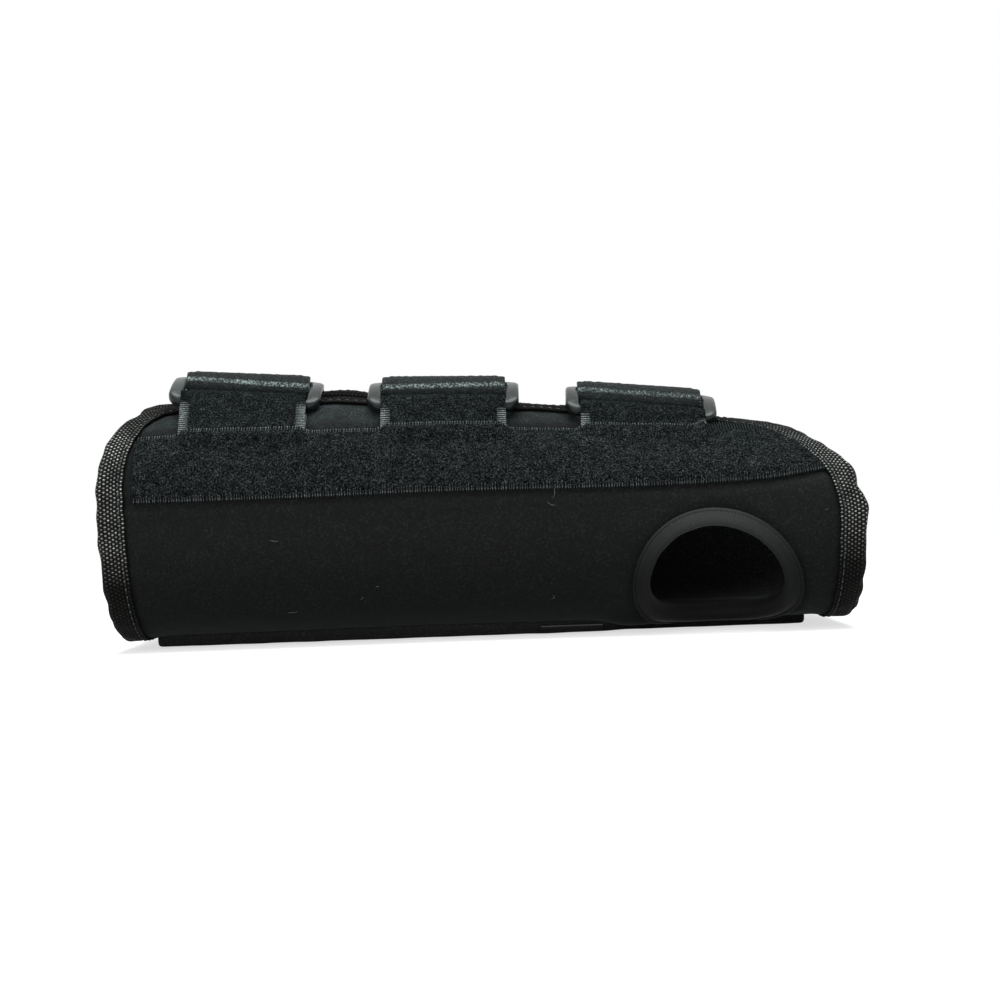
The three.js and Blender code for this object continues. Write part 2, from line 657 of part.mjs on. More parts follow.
// Where a strap's ring lies: its centre, the fall of its bars along X, and the centre of a bar at any x.
function ringPlace(x) {
  const reach = STRAP_WIDTH / 2;
  const fall = (valueAt("height", x + reach) - valueAt("height", x - reach)) / STRAP_WIDTH;
  const centre = new THREE.Vector3(x, RING_Y, valueAt("height", x) + RING_LIFT);
  const barAt = (side, at) => {
    const across = (side * BAR_SPACING) / 2;
    return [RING_Y + across * Math.cos(tilt), centre.z + across * Math.sin(tilt) + fall * (at - x)];
  };
  return { centre, fall, barAt };
}

// ---------------------------------------------------------------- ribbons round bars
// Points [y, z] of the arc that a ribbon's middle makes round a bar, from where one leg leaves it to where
// the other does. Both legs run to points on the same side, and turn is 1 if the arc's angle grows.
const ARC_STEPS = 8;

function wrapBar(bar, radius, comingFrom, goingTo, turn) {
  const tangent = (leg, side) => {
    const [dy, dz] = [bar[0] - leg[0], bar[1] - leg[1]];
    return Math.atan2(dz, dy) + side * (Math.PI / 2 + Math.asin(radius / Math.hypot(dy, dz)));
  };
  const first = tangent(comingFrom, -turn);
  let last = tangent(goingTo, turn);
  while ((last - first) * turn < 0) last += turn * 2 * Math.PI;
  while ((last - first) * turn > 2 * Math.PI) last -= turn * 2 * Math.PI;
  const points = [];
  for (let k = 0; k <= ARC_STEPS; k++) {
    const angle = first + ((last - first) * k) / ARC_STEPS;
    points.push([bar[0] + radius * Math.cos(angle), bar[1] + radius * Math.sin(angle)]);
  }
  return points;
}

// The point at a distance from one [y, z] point towards another.
function towards(from, to, distance) {
  const [dy, dz] = [to[0] - from[0], to[1] - from[1]];
  const run = Math.hypot(dy, dz);
  return [from[0] + (dy / run) * distance, from[1] + (dz / run) * distance];
}

// A ribbon of constant width along X. pathAt(x) gives its middle as [y, z] points, as many at each x.
const ACROSS_STEPS = 4;

function ribbonGeometry(x, width, thickness, pathAt) {
  const paths = [];
  for (let column = 0; column <= ACROSS_STEPS; column++) {
    const at = x + width * (column / ACROSS_STEPS - 0.5);
    paths.push({ at, points: pathAt(at) });
  }
  const rows = paths[0].points.length - 1;
  return sheetGeometry(ACROSS_STEPS, rows, (column, row, side) => {
    const { at, points } = paths[column];
    const direction = (k) => {
      const [dy, dz] = [points[k + 1][0] - points[k][0], points[k + 1][1] - points[k][1]];
      const run = Math.hypot(dy, dz);
      return [dy / run, dz / run];
    };
    const before = direction(Math.max(row - 1, 0));
    const after = direction(Math.min(row, rows - 1));
    // The mitre keeps the ribbon's thickness the same on both sides of a bend.
    const mitre = 1 + before[0] * after[0] + before[1] * after[1];
    const offset = ((side - 0.5) * thickness) / mitre;
    const [y, z] = points[row];
    const [dy, dz] = [before[0] + after[0], before[1] + after[1]];
    return new THREE.Vector3(at, y - dz * offset, z + dy * offset);
  });
}

const yz = (vector) => [vector.y, vector.z];

// ---------------------------------------------------------------- ring tabs, straps and hook patches
const tabRadius = BAR_RADIUS + CLOTH_GAP + TAB_THICKNESS / 2;
const strapRadius = BAR_RADIUS + CLOTH_GAP + STRAP_THICKNESS / 2;

// Each tab rises from the pile ribbon's edge, turns round the ring's near bar and comes back over itself.
function tabPath(place, x) {
  const girth = ribbonTopGirth(x) + 2 * CLOTH_GAP;
  const inner = CLOTH_GAP + TAB_THICKNESS / 2;
  const root = yz(onForm(x, girth, inner));
  const returning = yz(onForm(x, girth, inner + TAB_THICKNESS + CLOTH_GAP));
  return [root, ...wrapBar(place.barAt(-1, x), tabRadius, root, returning, 1), returning];
}

// Each strap climbs from the far side's pile ribbon, passes under the ring's far bar, turns round it
// through the window and lies back over itself.
const tapeTop = TAPE_SEAT + TAPE;
const strapLow = CLOTH_GAP + STRAP_THICKNESS / 2;
const strapHigh = tapeTop + 2 * CLOTH_GAP + STRAP_THICKNESS / 2;
const hookLift = CLOTH_GAP + RIBBON_THICKNESS + CLOTH_GAP + HOOK_THICKNESS / 2;
const tailLift = Math.max(
  strapHigh + STRAP_THICKNESS + CLOTH_GAP,
  hookLift + HOOK_THICKNESS / 2 + CLOTH_GAP + STRAP_THICKNESS / 2,
);
const STRAP_STEPS = 8;
const TAIL_STEPS = 12;
const HOOK_STEPS = 5;

function strapPaths(place, x) {
  const edge = ulnarEdge(x);
  const root = -ribbonTopGirth(x) - CLOTH_GAP;
  const lower = [];
  for (let k = 0; k <= STRAP_STEPS; k++) {
    const t = k / STRAP_STEPS;
    const girth = root + (edge + STRAP_LEAVING_LENGTH - root) * t;
    lower.push(yz(onForm(x, girth, strapLow + (strapHigh - strapLow) * t)));
  }
  const tail = [];
  for (let k = 0; k <= TAIL_STEPS; k++) {
    const lying = (STRAP_TIP_LENGTH - STRAP_LANDING_LENGTH) * (k / TAIL_STEPS);
    tail.push(yz(onForm(x, edge + STRAP_LANDING_LENGTH + lying, tailLift)));
  }
  const turn = wrapBar(place.barAt(1, x), strapRadius, lower.at(-1), tail[0], -1);
  // The strap is one length of cloth, parted just before the ring and just after it.
  const [arrives, departs] = [turn[0], turn.at(-1)];
  return {
    strap: [...lower, towards(arrives, lower.at(-1), STUB + CLOTH_GAP)],
    strap_turn: [towards(arrives, lower.at(-1), STUB), ...turn, towards(departs, tail[0], STUB)],
    strap_tail: [towards(departs, tail[0], STUB + CLOTH_GAP), ...tail],
  };
}

// The hook patch lies under the tail's end.
function hookPath(x) {
  const points = [];
  for (let k = 0; k <= HOOK_STEPS; k++) {
    const fromTip = HOOK_MARGIN + (HOOK_LENGTH * (HOOK_STEPS - k)) / HOOK_STEPS;
    points.push(yz(onForm(x, ulnarEdge(x) + STRAP_TIP_LENGTH - fromTip, hookLift)));
  }
  return points;
}

// ---------------------------------------------------------------- the three closures
// The line of each joint is kept with the model, as a point and an axis.
const joints = {
  radial_flap_open: {
    point: [0, -HAND_WIDTH / 2 - HINGE_OUTSIDE, HINGE_HEIGHT],
    axis: [1, 0, 0],
  },
  palmar_stay_slide: { point: [0, STAY_Y, stayFloor + STAY_THICKNESS / 2], axis: [-1, 0, 0] },
};
splint.userData.joints = joints;

const firstStrap = -LENGTH / 2 + FIRST_STRAP_INSET;
const lastStrap = LENGTH / 2 - LAST_STRAP_INSET;
const strapCentres = [firstStrap, (firstStrap + lastStrap) / 2, lastStrap];
for (const [k, x] of strapCentres.entries()) {
  const number = k + 1;
  const place = ringPlace(x);

  const ring = addPiece(`ring_${number}`, ringGeometry(), RING_PLASTIC);
  ring.position.copy(place.centre);
  ring.rotation.set(tilt, -Math.atan(place.fall), 0, "YXZ");

  const tab = ribbonGeometry(x, TAB_WIDTH, TAB_THICKNESS, (at) => tabPath(place, at));
  addPiece(`ring_tab_${number}`, tab, PILE);
  for (const piece of ["strap", "strap_turn", "strap_tail"]) {
    const pathAt = (at) => strapPaths(place, at)[piece];
    addPiece(`${piece}_${number}`, ribbonGeometry(x, STRAP_WIDTH, STRAP_THICKNESS, pathAt), STRAP_CLOTH);
  }
  const hook = ribbonGeometry(x, STRAP_WIDTH - 2 * HOOK_MARGIN, HOOK_THICKNESS, hookPath);
  addPiece(`hook_patch_${number}`, hook, HOOK_PLASTIC);

  const alongBar = [1, 0, place.fall];
  joints[`ring_${number}_swivel`] = { point: [x, ...place.barAt(-1, x)], axis: alongBar };
  // A tail peels about a crease in its upper face, where it leaves the ring.
  const [crease, next] = strapPaths(place, x).strap_tail;
  const run = Math.hypot(next[0] - crease[0], next[1] - crease[1]);
  const rise = STRAP_THICKNESS / 2 / run;
  const upper = [crease[0] - (next[1] - crease[1]) * rise, crease[1] + (next[0] - crease[0]) * rise];
  joints[`strap_${number}_peel`] = { point: [x, ...upper], axis: alongBar };
}

export default splint;
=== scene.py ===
# %% [markdown]
# # A wrist splint
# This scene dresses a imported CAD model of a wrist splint. The splint is one padded laminate sleeve with taped
# edges, pile ribbons sewn along both sides, three rings held by tabs, and three straps that fold back through them.

# %% Load the frame
import math

import bpy
import numpy as np
from mathutils import Matrix


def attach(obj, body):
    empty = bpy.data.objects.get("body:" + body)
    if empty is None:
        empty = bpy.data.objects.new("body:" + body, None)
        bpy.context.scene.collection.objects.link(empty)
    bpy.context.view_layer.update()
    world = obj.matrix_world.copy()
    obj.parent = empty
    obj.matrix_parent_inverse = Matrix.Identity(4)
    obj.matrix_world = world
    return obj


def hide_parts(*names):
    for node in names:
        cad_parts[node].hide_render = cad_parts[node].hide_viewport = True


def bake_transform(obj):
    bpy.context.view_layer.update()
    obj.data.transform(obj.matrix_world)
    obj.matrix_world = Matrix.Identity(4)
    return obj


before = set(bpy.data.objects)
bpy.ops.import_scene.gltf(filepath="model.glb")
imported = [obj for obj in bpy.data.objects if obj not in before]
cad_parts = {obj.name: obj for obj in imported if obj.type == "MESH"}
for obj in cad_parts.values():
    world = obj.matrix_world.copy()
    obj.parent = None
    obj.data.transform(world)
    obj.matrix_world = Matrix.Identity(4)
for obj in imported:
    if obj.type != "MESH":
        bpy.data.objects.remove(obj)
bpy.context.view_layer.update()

# %% [markdown]
# ## The sizes
# Lengths are in millimetres here and become metres when a mesh is made. They repeat the CAD's own dimensions, so
# that each surface lies where its solid does.

# %% Sizes shared with the solids
MM = 0.001
LENGTH, LAMINATE, CLOTH_GAP, SLEEVE_FLOOR = 228.4, 4.0, 0.3, 3.4
TAPE, TAPE_SEAT, END_TAPE_WIDTH, EDGE_TAPE_WIDTH = 0.7, 0.36, 8.0, 6.0
CORNER_GIRTH, PROXIMAL_CORNER, DISTAL_CORNER, CORNER_POWER, PALM_PULL_IN = 40.0, 18.0, 34.0, 1.8, 2.5
RADIAL_EDGE, ULNAR_REACH = 14.0, 6.0
RIBBON_WIDTH, RIBBON_THICKNESS, RIBBON_START, RIBBON_INSET = 21.8, 1.2, 10.8, 8.5
STRAP_WIDTH, STRAP_THICKNESS, TAB_WIDTH, TAB_THICKNESS = 36.5, 1.2, 38.0, 1.2
STRAP_X = (-71.3, -10.65, 50.0)
HOOK_LENGTH, HOOK_HALF, HOOK_MARGIN = 20.0, 0.45, 2.0
THUMB_X, THUMB_GIRTH, THUMB_RADIUS, THUMB_TAPE_WIDTH = LENGTH / 2 - 44.5, 40.3, 25.4, 5.0

# %% [markdown]
# ## The form
# A wrist is not a cylinder: its section is nearly round at the elbow end, narrow at the wrist, and wide and low at
# the knuckles. Lofting a few drawn outlines would do, but a formula is easier to sample finely. Each section is a
# superellipse whose power changes from palm to back, and the sizes run smoothly from station to station.

# %% The section of the sleeve at any place along the arm
STATIONS = {
    "at": np.array([-0.5, -0.24, -0.02, 0.37, 0.5]) * LENGTH,
    "width": np.array([84, 80, 76.4, 88, 85]),
    "height": np.array([75.6, 77.4, 74.9, 65.8, 60.6]),
    "back": np.array([2.0, 1.95, 1.9, 1.8, 1.8]),
    "ribbon": np.array([0.548, 0.573, 0.545, 0.428, 0.318]),
    "tuck": np.array([1.4, 0.3, 1.6, 2.2, 2.6]),
}
PALM_CUT, PALM_SQUARENESS = 1, 3  # how much of the section is cut off flat, and its power at the palm
TUCK_START, TUCK_SPAN = 0.6, 0.35  # in half turns from the palm
SECTION_TURN, SECTION_POINTS = 1.25 * np.pi, 1801


def value_at(key, x):
    """Cubic pieces through the stations: at each one the slope is that of the line between its neighbours."""
    xs, ys = STATIONS["at"], STATIONS[key]
    last = len(xs) - 1
    k = np.clip(np.searchsorted(xs, x, side="left") - 1, 0, last - 1)
    low, high = np.maximum(np.arange(last + 1) - 1, 0), np.minimum(np.arange(last + 1) + 1, last)
    slope = (ys[high] - ys[low]) / (xs[high] - xs[low])
    span = xs[k + 1] - xs[k]
    t = (x - xs[k]) / span
    ends = ys[k] * (1 + 2 * t) * (1 - t) ** 2 + ys[k + 1] * t * t * (3 - 2 * t)
    return ends + span * t * (1 - t) * (slope[k] * (1 - t) - slope[k + 1] * t)


def smooth(t):
    """0 before 0, 1 after 1, and an S between."""
    t = np.clip(t, 0, 1)
    return t * t * (3 - 2 * t)


def bell(distance, reach):
    """1 at no distance, falling away on both sides over the reach."""
    return np.exp(-((distance / reach) ** 2))


def rounded(distance, radius):
    """The height of a quarter circle that rises from 0 at an edge to 1 at the radius."""
    return np.sqrt(np.clip(1 - (1 - np.clip(distance / radius, 0, 1)) ** 2, 0, 1))


def unit(vectors):
    """Each vector divided by its length."""
    return vectors / (np.linalg.norm(vectors, axis=-1, keepdims=True) + 1e-9)


def section_table(xs, girths):
    """y = -w/2 r sin a and z = top - d - d r cos a - tuck, with r = (|cos a|^p + |sin a|^p)^(-1/p), against girth."""
    angle = np.linspace(-SECTION_TURN, SECTION_TURN, SECTION_POINTS)
    width, top, back, tuck = (value_at(key, xs)[:, None] for key in ("width", "height", "back", "tuck"))
    deep = (top - SLEEVE_FLOOR + PALM_CUT) / 2
    c, s = np.cos(angle)[None], np.sin(angle)[None]
    power = back + (PALM_SQUARENESS - back) * (1 + c) / 2
    radius = (np.abs(c) ** power + np.abs(s) ** power) ** (-1 / power)
    y = -width / 2 * radius * s
    tucked = tuck * smooth((-angle[None] / np.pi - TUCK_START) / TUCK_SPAN)
    z = np.maximum(top - deep - deep * radius * c - tucked, SLEEVE_FLOOR)
    run = np.concatenate([np.zeros((len(xs), 1)), np.cumsum(np.hypot(np.diff(y), np.diff(z)), 1)], 1)
    run -= run[:, [SECTION_POINTS // 2]]
    even = [(np.interp(girths, g, a), np.interp(girths, g, b)) for g, a, b in zip(run, y, z)]
    return np.array(even).transpose(0, 2, 1), np.array([np.interp(np.pi, angle, g) for g in run])


TABLE_X, TABLE_G = np.linspace(-120, 120, 241), np.linspace(-180, 180, 1441)
TABLE, BACK_GIRTH = section_table(TABLE_X, TABLE_G)
print("girth to the middle of the back at the wrist:", round(float(BACK_GIRTH[115]), 1), "mm")

# %% [markdown]
# Padded cloth is never as smooth as its pattern. A low, slow swell is added to the form itself, so that everything
# sewn to it follows. Sums of sine waves with fixed angles do this, and each sum has its own fixed seed.

# %% Places on the form
# The padding's bulges: height, x, girth from a line, how wide along x and girth, and the line, which is the middle
# of the back seen from the thumb's side (1) or the far side (-1), or the middle of the palm (0).
BULGES = ((2.0, 45, 21, 8, 6.5, 0), (0.8, 20, -20, 9, 7, 1), (0.6, -42, -20, 9, 7, 1), (1.0, -41, 0, 8, 9, -1))
NORMAL_REACH = 1.5
FULL_TURN = 6.283


def waves(a, b, size, seed, count=9):
    """The mean of sine waves of about one wavelength (size) in fixed directions, from -1 to 1."""
    rng = np.random.default_rng(seed)
    total = 0
    turns, phases, scales = rng.uniform(0, np.pi, count), rng.uniform(0, 6.28, count), rng.uniform(0.7, 1.4, count)
    for turn, phase, scale in zip(turns, phases, scales):
        total = total + np.sin((a * np.cos(turn) + b * np.sin(turn)) * FULL_TURN / (size * scale) + phase)
    return total / count ** 0.5 / 1.6


def back_girth(x):
    return np.interp(x, TABLE_X, BACK_GIRTH)


def swell(x, girth):
    """Slow unevenness of the padding, and its bulges: one is the fuller cloth under the thumb hole."""
    slow = 0.35 * waves(x, girth, 46, 3) + 0.10 * waves(x, girth, 17, 5)
    total = slow * smooth((np.abs(girth) - 20) / 14)
    for height, at_x, at_girth, wide, deep, side in BULGES:
        total = total + height * bell(x - at_x, wide) * bell(girth - side * back_girth(x) - at_girth, deep)
    return total


def look_up(x, girth):
    """y and z between the table's entries."""
    i = np.clip((x - TABLE_X[0]) / (TABLE_X[1] - TABLE_X[0]), 0, len(TABLE_X) - 1.001)
    j = np.clip((girth - TABLE_G[0]) / (TABLE_G[1] - TABLE_G[0]), 0, len(TABLE_G) - 1.001)
    i0, j0 = i.astype(int), j.astype(int)
    s, t = (i - i0)[..., None], (j - j0)[..., None]
    near = TABLE[i0, j0] * (1 - t) + TABLE[i0, j0 + 1] * t
    far = TABLE[i0 + 1, j0] * (1 - t) + TABLE[i0 + 1, j0 + 1] * t
    return near * (1 - s) + far * s


def on_form(x, girth, lift):
    """The section's point at this girth, moved outwards along its normal by the lift and the swell."""
    x, girth, lift = np.broadcast_arrays(*(np.asarray(v, float) for v in (x, girth, lift)))
    across = unit(look_up(x, girth + NORMAL_REACH) - look_up(x, girth - NORMAL_REACH))
    lift = (lift + swell(x, girth))[..., None]
    yz = look_up(x, girth) + np.stack([-across[..., 1], across[..., 0]], -1) * lift
    return np.concatenate([x[..., None], yz], -1)


def yz_on_form(x, girth, lift):
    return on_form(x, girth, lift)[..., 1:]


def radial_edge(x):
    return back_girth(x) - RADIAL_EDGE


def ulnar_edge(x):
    return -(back_girth(x) + ULNAR_REACH)


def girth_at_height(x, z):
    """The girth on the thumb side at which the section passes a height."""
    girths = np.linspace(10, 110, 401)
    heights = look_up(np.full(401, float(x)), girths)[:, 1]
    return float(np.interp(z, heights, girths))


def ribbon_centre(x):
    """Girth from the middle of the back to the middle of a pile ribbon."""
    return value_at("ribbon", x) * value_at("width", x)


def ribbon_top(x):
    """Girth from the middle of the palm to a pile ribbon's upper edge."""
    return back_girth(x) - ribbon_centre(x) + RIBBON_WIDTH / 2


# %% [markdown]
# ## Making meshes
# Each piece is a grid of points worked out at once. These helpers turn grids into closed meshes with a UV map in
# millimetres, which the weaves read, so that a pattern follows its cloth round every bend.

# %% Mesh helpers
def spread(*parts):
    """Arrays of different shapes stretched to one shape and put together as coordinates."""
    return np.stack(np.broadcast_arrays(*parts), -1)


def finish_mesh(name, points, faces, uv=None, materials=(), material_of=None):
    """A mesh object from points in mm. Faces are turned outwards if the volume they close is negative."""
    points = np.asarray(points, float).reshape(-1, 3)
    volume = 0.0
    for same_size in faces:
        a = points[same_size[:, 0]]
        for k in range(1, same_size.shape[1] - 1):
            b, c = points[same_size[:, k]], points[same_size[:, k + 1]]
            volume += np.einsum("ij,ij->", a, np.cross(b, c))
    if volume < 0:
        faces = [same_size[:, ::-1] for same_size in faces]
    loops = np.concatenate([same_size.ravel() for same_size in faces])
    sizes = np.concatenate([np.full(len(same_size), same_size.shape[1]) for same_size in faces])
    starts = np.concatenate([[0], np.cumsum(sizes)[:-1]])
    mesh = bpy.data.meshes.new(name)
    mesh.vertices.add(len(points))
    mesh.vertices.foreach_set("co", (points * MM).astype(np.float32).ravel())
    mesh.loops.add(len(loops))
    mesh.loops.foreach_set("vertex_index", loops.astype(np.int32))
    mesh.polygons.add(len(sizes))
    mesh.polygons.foreach_set("loop_start", starts.astype(np.int32))
    mesh.polygons.foreach_set("loop_total", sizes.astype(np.int32))
    mesh.polygons.foreach_set("use_smooth", np.ones(len(sizes), bool))
    if material_of is not None:
        mesh.polygons.foreach_set("material_index", np.concatenate(material_of).astype(np.int32))
    if uv is not None:
        layer = mesh.uv_layers.new(name="cloth")
        layer.data.foreach_set("uv", np.asarray(uv, np.float32).reshape(-1, 2)[loops].ravel())
    mesh.update(calc_edges=True)
    mesh.validate()
    for material in materials:
        mesh.materials.append(material)
    piece = bpy.data.objects.new(name, mesh)
    bpy.context.scene.collection.objects.link(piece)
    return piece


def grid_faces(rows, columns, closed_rows=False, closed_columns=False):
    """The four-sided faces of a grid whose points are numbered row by row."""
    i = np.arange(rows if closed_rows else rows - 1)
    j = np.arange(columns if closed_columns else columns - 1)
    i, j = np.meshgrid(i, j, indexing="ij")
    i1, j1 = (i + 1) % rows, (j + 1) % columns
    corners = np.stack([i * columns + j, i * columns + j1, i1 * columns + j1, i1 * columns + j], -1)
    return corners.reshape(-1, 4)


def thick_sheet(name, top, bottom, uv, materials, keep=None):
    """Two grids of the same shape joined round their border. keep masks out faces, and the hole gets a rim."""
    rows, columns = top.shape[:2]
    layer = rows * columns
    upper = grid_faces(rows, columns)
    if keep is not None:
        upper = upper[keep.ravel()]
    lower = upper[:, ::-1] + layer
    edges = np.concatenate([upper[:, [k, (k + 1) % 4]] for k in range(4)])
    there, back = edges[:, 0] * layer + edges[:, 1], edges[:, 1] * layer + edges[:, 0]
    border = edges[~np.isin(there, back)]
    rim = np.stack([border[:, 1], border[:, 0], border[:, 0] + layer, border[:, 1] + layer], -1)
    points = np.concatenate([top.reshape(-1, 3), bottom.reshape(-1, 3)])
    faces = [upper, rim, lower]
    used = np.unique(np.concatenate([f.ravel() for f in faces]))
    renumber = np.zeros(len(points), int)
    renumber[used] = np.arange(len(used))
    uvs = np.concatenate([uv.reshape(-1, 2)] * 2)[used]
    kinds = [np.zeros(len(upper)), np.zeros(len(rim)), np.full(len(lower), len(materials) - 1)]
    return finish_mesh(name, points[used], [renumber[f] for f in faces], uvs, materials, kinds)


def capped(rings, sides):
    """Faces of one tube whose points are numbered ring by ring, with a flat cap at each end."""
    first = np.arange(sides)[None]
    return [grid_faces(rings, sides, False, True), first[:, ::-1], first + (rings - 1) * sides]


def tube(name, rings, uv, material, closed=False):
    """A closed profile carried along a path, as points[step, place on profile]; open ends get flat caps."""
    steps, places = rings.shape[:2]
    faces = [grid_faces(steps, places, True, True)] if closed else capped(steps, places)
    return finish_mesh(name, rings, faces, uv, [material])


def many_tubes(name, points, uv, material):
    """One mesh from points[tube, ring, side]."""
    count, rings, sides = points.shape[:3]
    shift = np.arange(count)[:, None, None] * rings * sides
    faces = [(f[None] + shift).reshape(-1, f.shape[1]) for f in capped(rings, sides)]
    return finish_mesh(name, points, faces, uv, [material])


def run_along(path):
    """The distance from a polyline's start to each of its points."""
    return np.concatenate([[0], np.cumsum(np.linalg.norm(np.diff(path, axis=0), axis=1))])


def resample(path, step):
    """Points at equal distances along a polyline, and the distance to each."""
    run = run_along(path)
    at = np.linspace(0, run[-1], max(int(round(run[-1] / step)), 2) + 1)
    return np.stack([np.interp(at, run, path[:, k]) for k in range(path.shape[1])], -1), at


def circle(count):
    """The cosines and sines of equal turns."""
    turn = np.arange(count) * 2 * np.pi / count
    return np.cos(turn)[:, None], np.sin(turn)[:, None]


# %% [markdown]
# ## Materials
# The splint is black on black, so its cloths differ only in how they are made: brushed loops, dense pile, woven
# tape, smooth stretch tape and satin. Each effect is a node group, built once and placed with its own values.
# Written as nodes, a formula is long, so a small class lets plain arithmetic add the Math nodes.

# %% Node helpers
def arithmetic(operation, swapped=False):
    """A method of Value that adds a Math node for itself and another."""
    return lambda own, other: own.math(operation, *((other, own) if swapped else (own, other)))


class Value:
    """A number or colour that a node puts out. Arithmetic on it adds Math nodes to the same tree."""

    def __init__(self, nodes, socket):
        self.nodes, self.socket = nodes, socket

    def math(self, operation, *values):
        return self.nodes.value("Math", 0, dict(enumerate(values)), operation=operation)

    def do(self, operation, *others):
        return self.math(operation, self, *others)

    def clamped(self):
        """The same, held between 0 and 1."""
        self.socket.node.use_clamp = True
        return self

    def ramp(self, start, span):
        """0 up to the start, then evenly to 1 over the span."""
        return ((self - start) / span).clamped()

    __add__, __sub__, __mul__ = (arithmetic(name) for name in ("ADD", "SUBTRACT", "MULTIPLY"))
    __truediv__, __pow__ = (arithmetic(name) for name in ("DIVIDE", "POWER"))
    __rsub__, __rtruediv__ = (arithmetic(name, swapped=True) for name in ("SUBTRACT", "DIVIDE"))


class Nodes:
    """The nodes of one tree."""

    def __init__(self, tree):
        self.tree = tree

    def put(self, socket, value):
        """Link the socket to a value, or set the socket's own."""
        value = getattr(value, "socket", value)
        if isinstance(value, bpy.types.NodeSocket):
            self.tree.links.new(value, socket)
        else:
            socket.default_value = value

    def add(self, kind, sockets=None, **settings):
        node = self.tree.nodes.new(kind if kind.startswith("Node") else "ShaderNode" + kind)
        for key, value in settings.items():
            setattr(node, key, value)
        for key, value in (sockets or {}).items():
            self.put(node.inputs[key], value)
        return node

    def value(self, kind, output, sockets=None, **settings):
        return Value(self, self.add(kind, sockets, **settings).outputs[output])

    def place(self, kind="Object"):
        return self.value("TexCoord", kind)

    def axes(self, vector):
        return [Value(self, part) for part in self.add("SeparateXYZ", {"Vector": vector}).outputs]

    def noise(self, vector, scale, detail, roughness=0.5):
        return self.value("TexNoise", "Fac", {"Vector": vector, "Scale": scale, "Detail": detail,
                                              "Roughness": roughness})

    def effect(self, tree, sockets):
        """A node group placed with its own values: what it puts out, by name."""
        node = self.add("Group", sockets, node_tree=tree)
        return {output.name: Value(self, output) for output in node.outputs}

    def between(self, share, low, high):
        """The colour that a share, 0 to 1, picks between two."""
        low, high = (c if isinstance(c, Value) else (*c, 1) for c in (low, high))
        return self.value("Mix", 2, {0: share, 6: low, 7: high}, data_type="RGBA")

    def relief(self, height, distance):
        """Height as a bump of this many millimetres."""
        return self.value("Bump", "Normal", {"Height": height, "Distance": distance * MM, "Strength": 1.0})


def make_group(name, inputs, outputs, formula):
    """A node group with named sockets. The formula takes its nodes and inputs, and gives its outputs in order."""
    tree = bpy.data.node_groups.new(name, "ShaderNodeTree")
    for label, default in inputs.items():
        kind = "NodeSocketVector" if default is None else "NodeSocketFloat"
        socket = tree.interface.new_socket(name=label, in_out="INPUT", socket_type=kind)
        if default is not None:
            socket.default_value = default
    for label in outputs:
        tree.interface.new_socket(name=label, in_out="OUTPUT", socket_type="NodeSocketFloat")
    nodes = Nodes(tree)
    given = nodes.add("NodeGroupInput")
    results = formula(nodes, *(Value(nodes, given.outputs[label]) for label in inputs))
    nodes.add("NodeGroupOutput", dict(zip(outputs, results)))
    return tree


def times(factor, colour):
    return tuple(factor * c for c in colour)


# %% [markdown]
# **Nap.** A brushed surface is a tangle of fine loops. Two sizes of noise make the tangle, and a cell pattern picks
# out the few loops that catch the light.

# %% Group: nap
def nap_formula(nodes, size, glints):
    place, scale = nodes.place(), 1000.0 / size
    fine = nodes.noise(place, scale, 3.0, 0.65)
    patch = nodes.noise(place, scale * 0.16, 2.0)
    cells = nodes.add("TexVoronoi", {"Vector": place, "Scale": scale * 0.9}, feature="F1")
    tip = (1.0 - Value(nodes, cells.outputs["Distance"]) * 2.4).clamped()
    lit = nodes.value("SeparateColor", 0, {"Color": cells.outputs["Color"]}).do("GREATER_THAN", 1.0 - glints)
    tangle = ((fine - 0.36) * 3.0).clamped() ** 2.2 * (patch * 1.75 + 0.02)
    return (tangle * 0.6 + tip * lit * 0.8).clamped(), fine * 0.7 + tip * 0.3


NAP = make_group("nap", {"Size": 0.5, "Glints": 0.3}, ("Mask", "Height"), nap_formula)


# %% [markdown]
# **Weave.** In a plain weave each yarn passes over one crossing yarn and under the next. Along the tape's UV map the
# cells of a chessboard say which yarn is on top, and a half round across that yarn gives its height.

# %% Group: plain weave
def weave_formula(nodes, uv, along, across):
    u, v = nodes.axes(uv)[:2]
    a, b = u / along, v / across
    odd = (a.do("FLOOR") + b.do("FLOOR")).do("FLOORED_MODULO", 2.0)
    dome_a, dome_b = ((cell.do("FRACT") * math.pi).do("SINE") for cell in (a, b))
    top = dome_a ** 0.55 * dome_b * (1.0 - odd)
    low = dome_b ** 0.55 * dome_a * odd * 0.72
    glint = top.do("MAXIMUM", 0.0001) ** 2.2 + low.do("MAXIMUM", 0.0001) ** 3.0 * 0.2
    return glint, top + low


WEAVE = make_group("plain_weave", {"UV": None, "Along": 1.0, "Across": 1.0}, ("Mask", "Height"), weave_formula)


# %% [markdown]
# **Selvedge.** A pile ribbon's long edges are bare ground weave, with a rib for each turn of the weft. The group
# finds how far a place is from the ribbon's middle, and puts ribs in the band beyond a limit.

# %% Group: ribbed selvedge
def selvedge_formula(nodes, uv, half_width, band, pitch):
    u, v = nodes.axes(uv)[:2]
    beyond = v.do("ABSOLUTE") - (half_width - band)
    rib = (u / pitch * math.pi).do("SINE").do("ABSOLUTE").do("MAXIMUM", 0.001)
    return (beyond / 0.35).clamped(), rib ** 0.8


SELVEDGE = make_group("selvedge", {"UV": None, "Half Width": 19.0, "Band": 3.0, "Pitch": 0.9}, ("Band", "Height"),
                      selvedge_formula)
print("node groups:", [tree.name for tree in (NAP, WEAVE, SELVEDGE)])
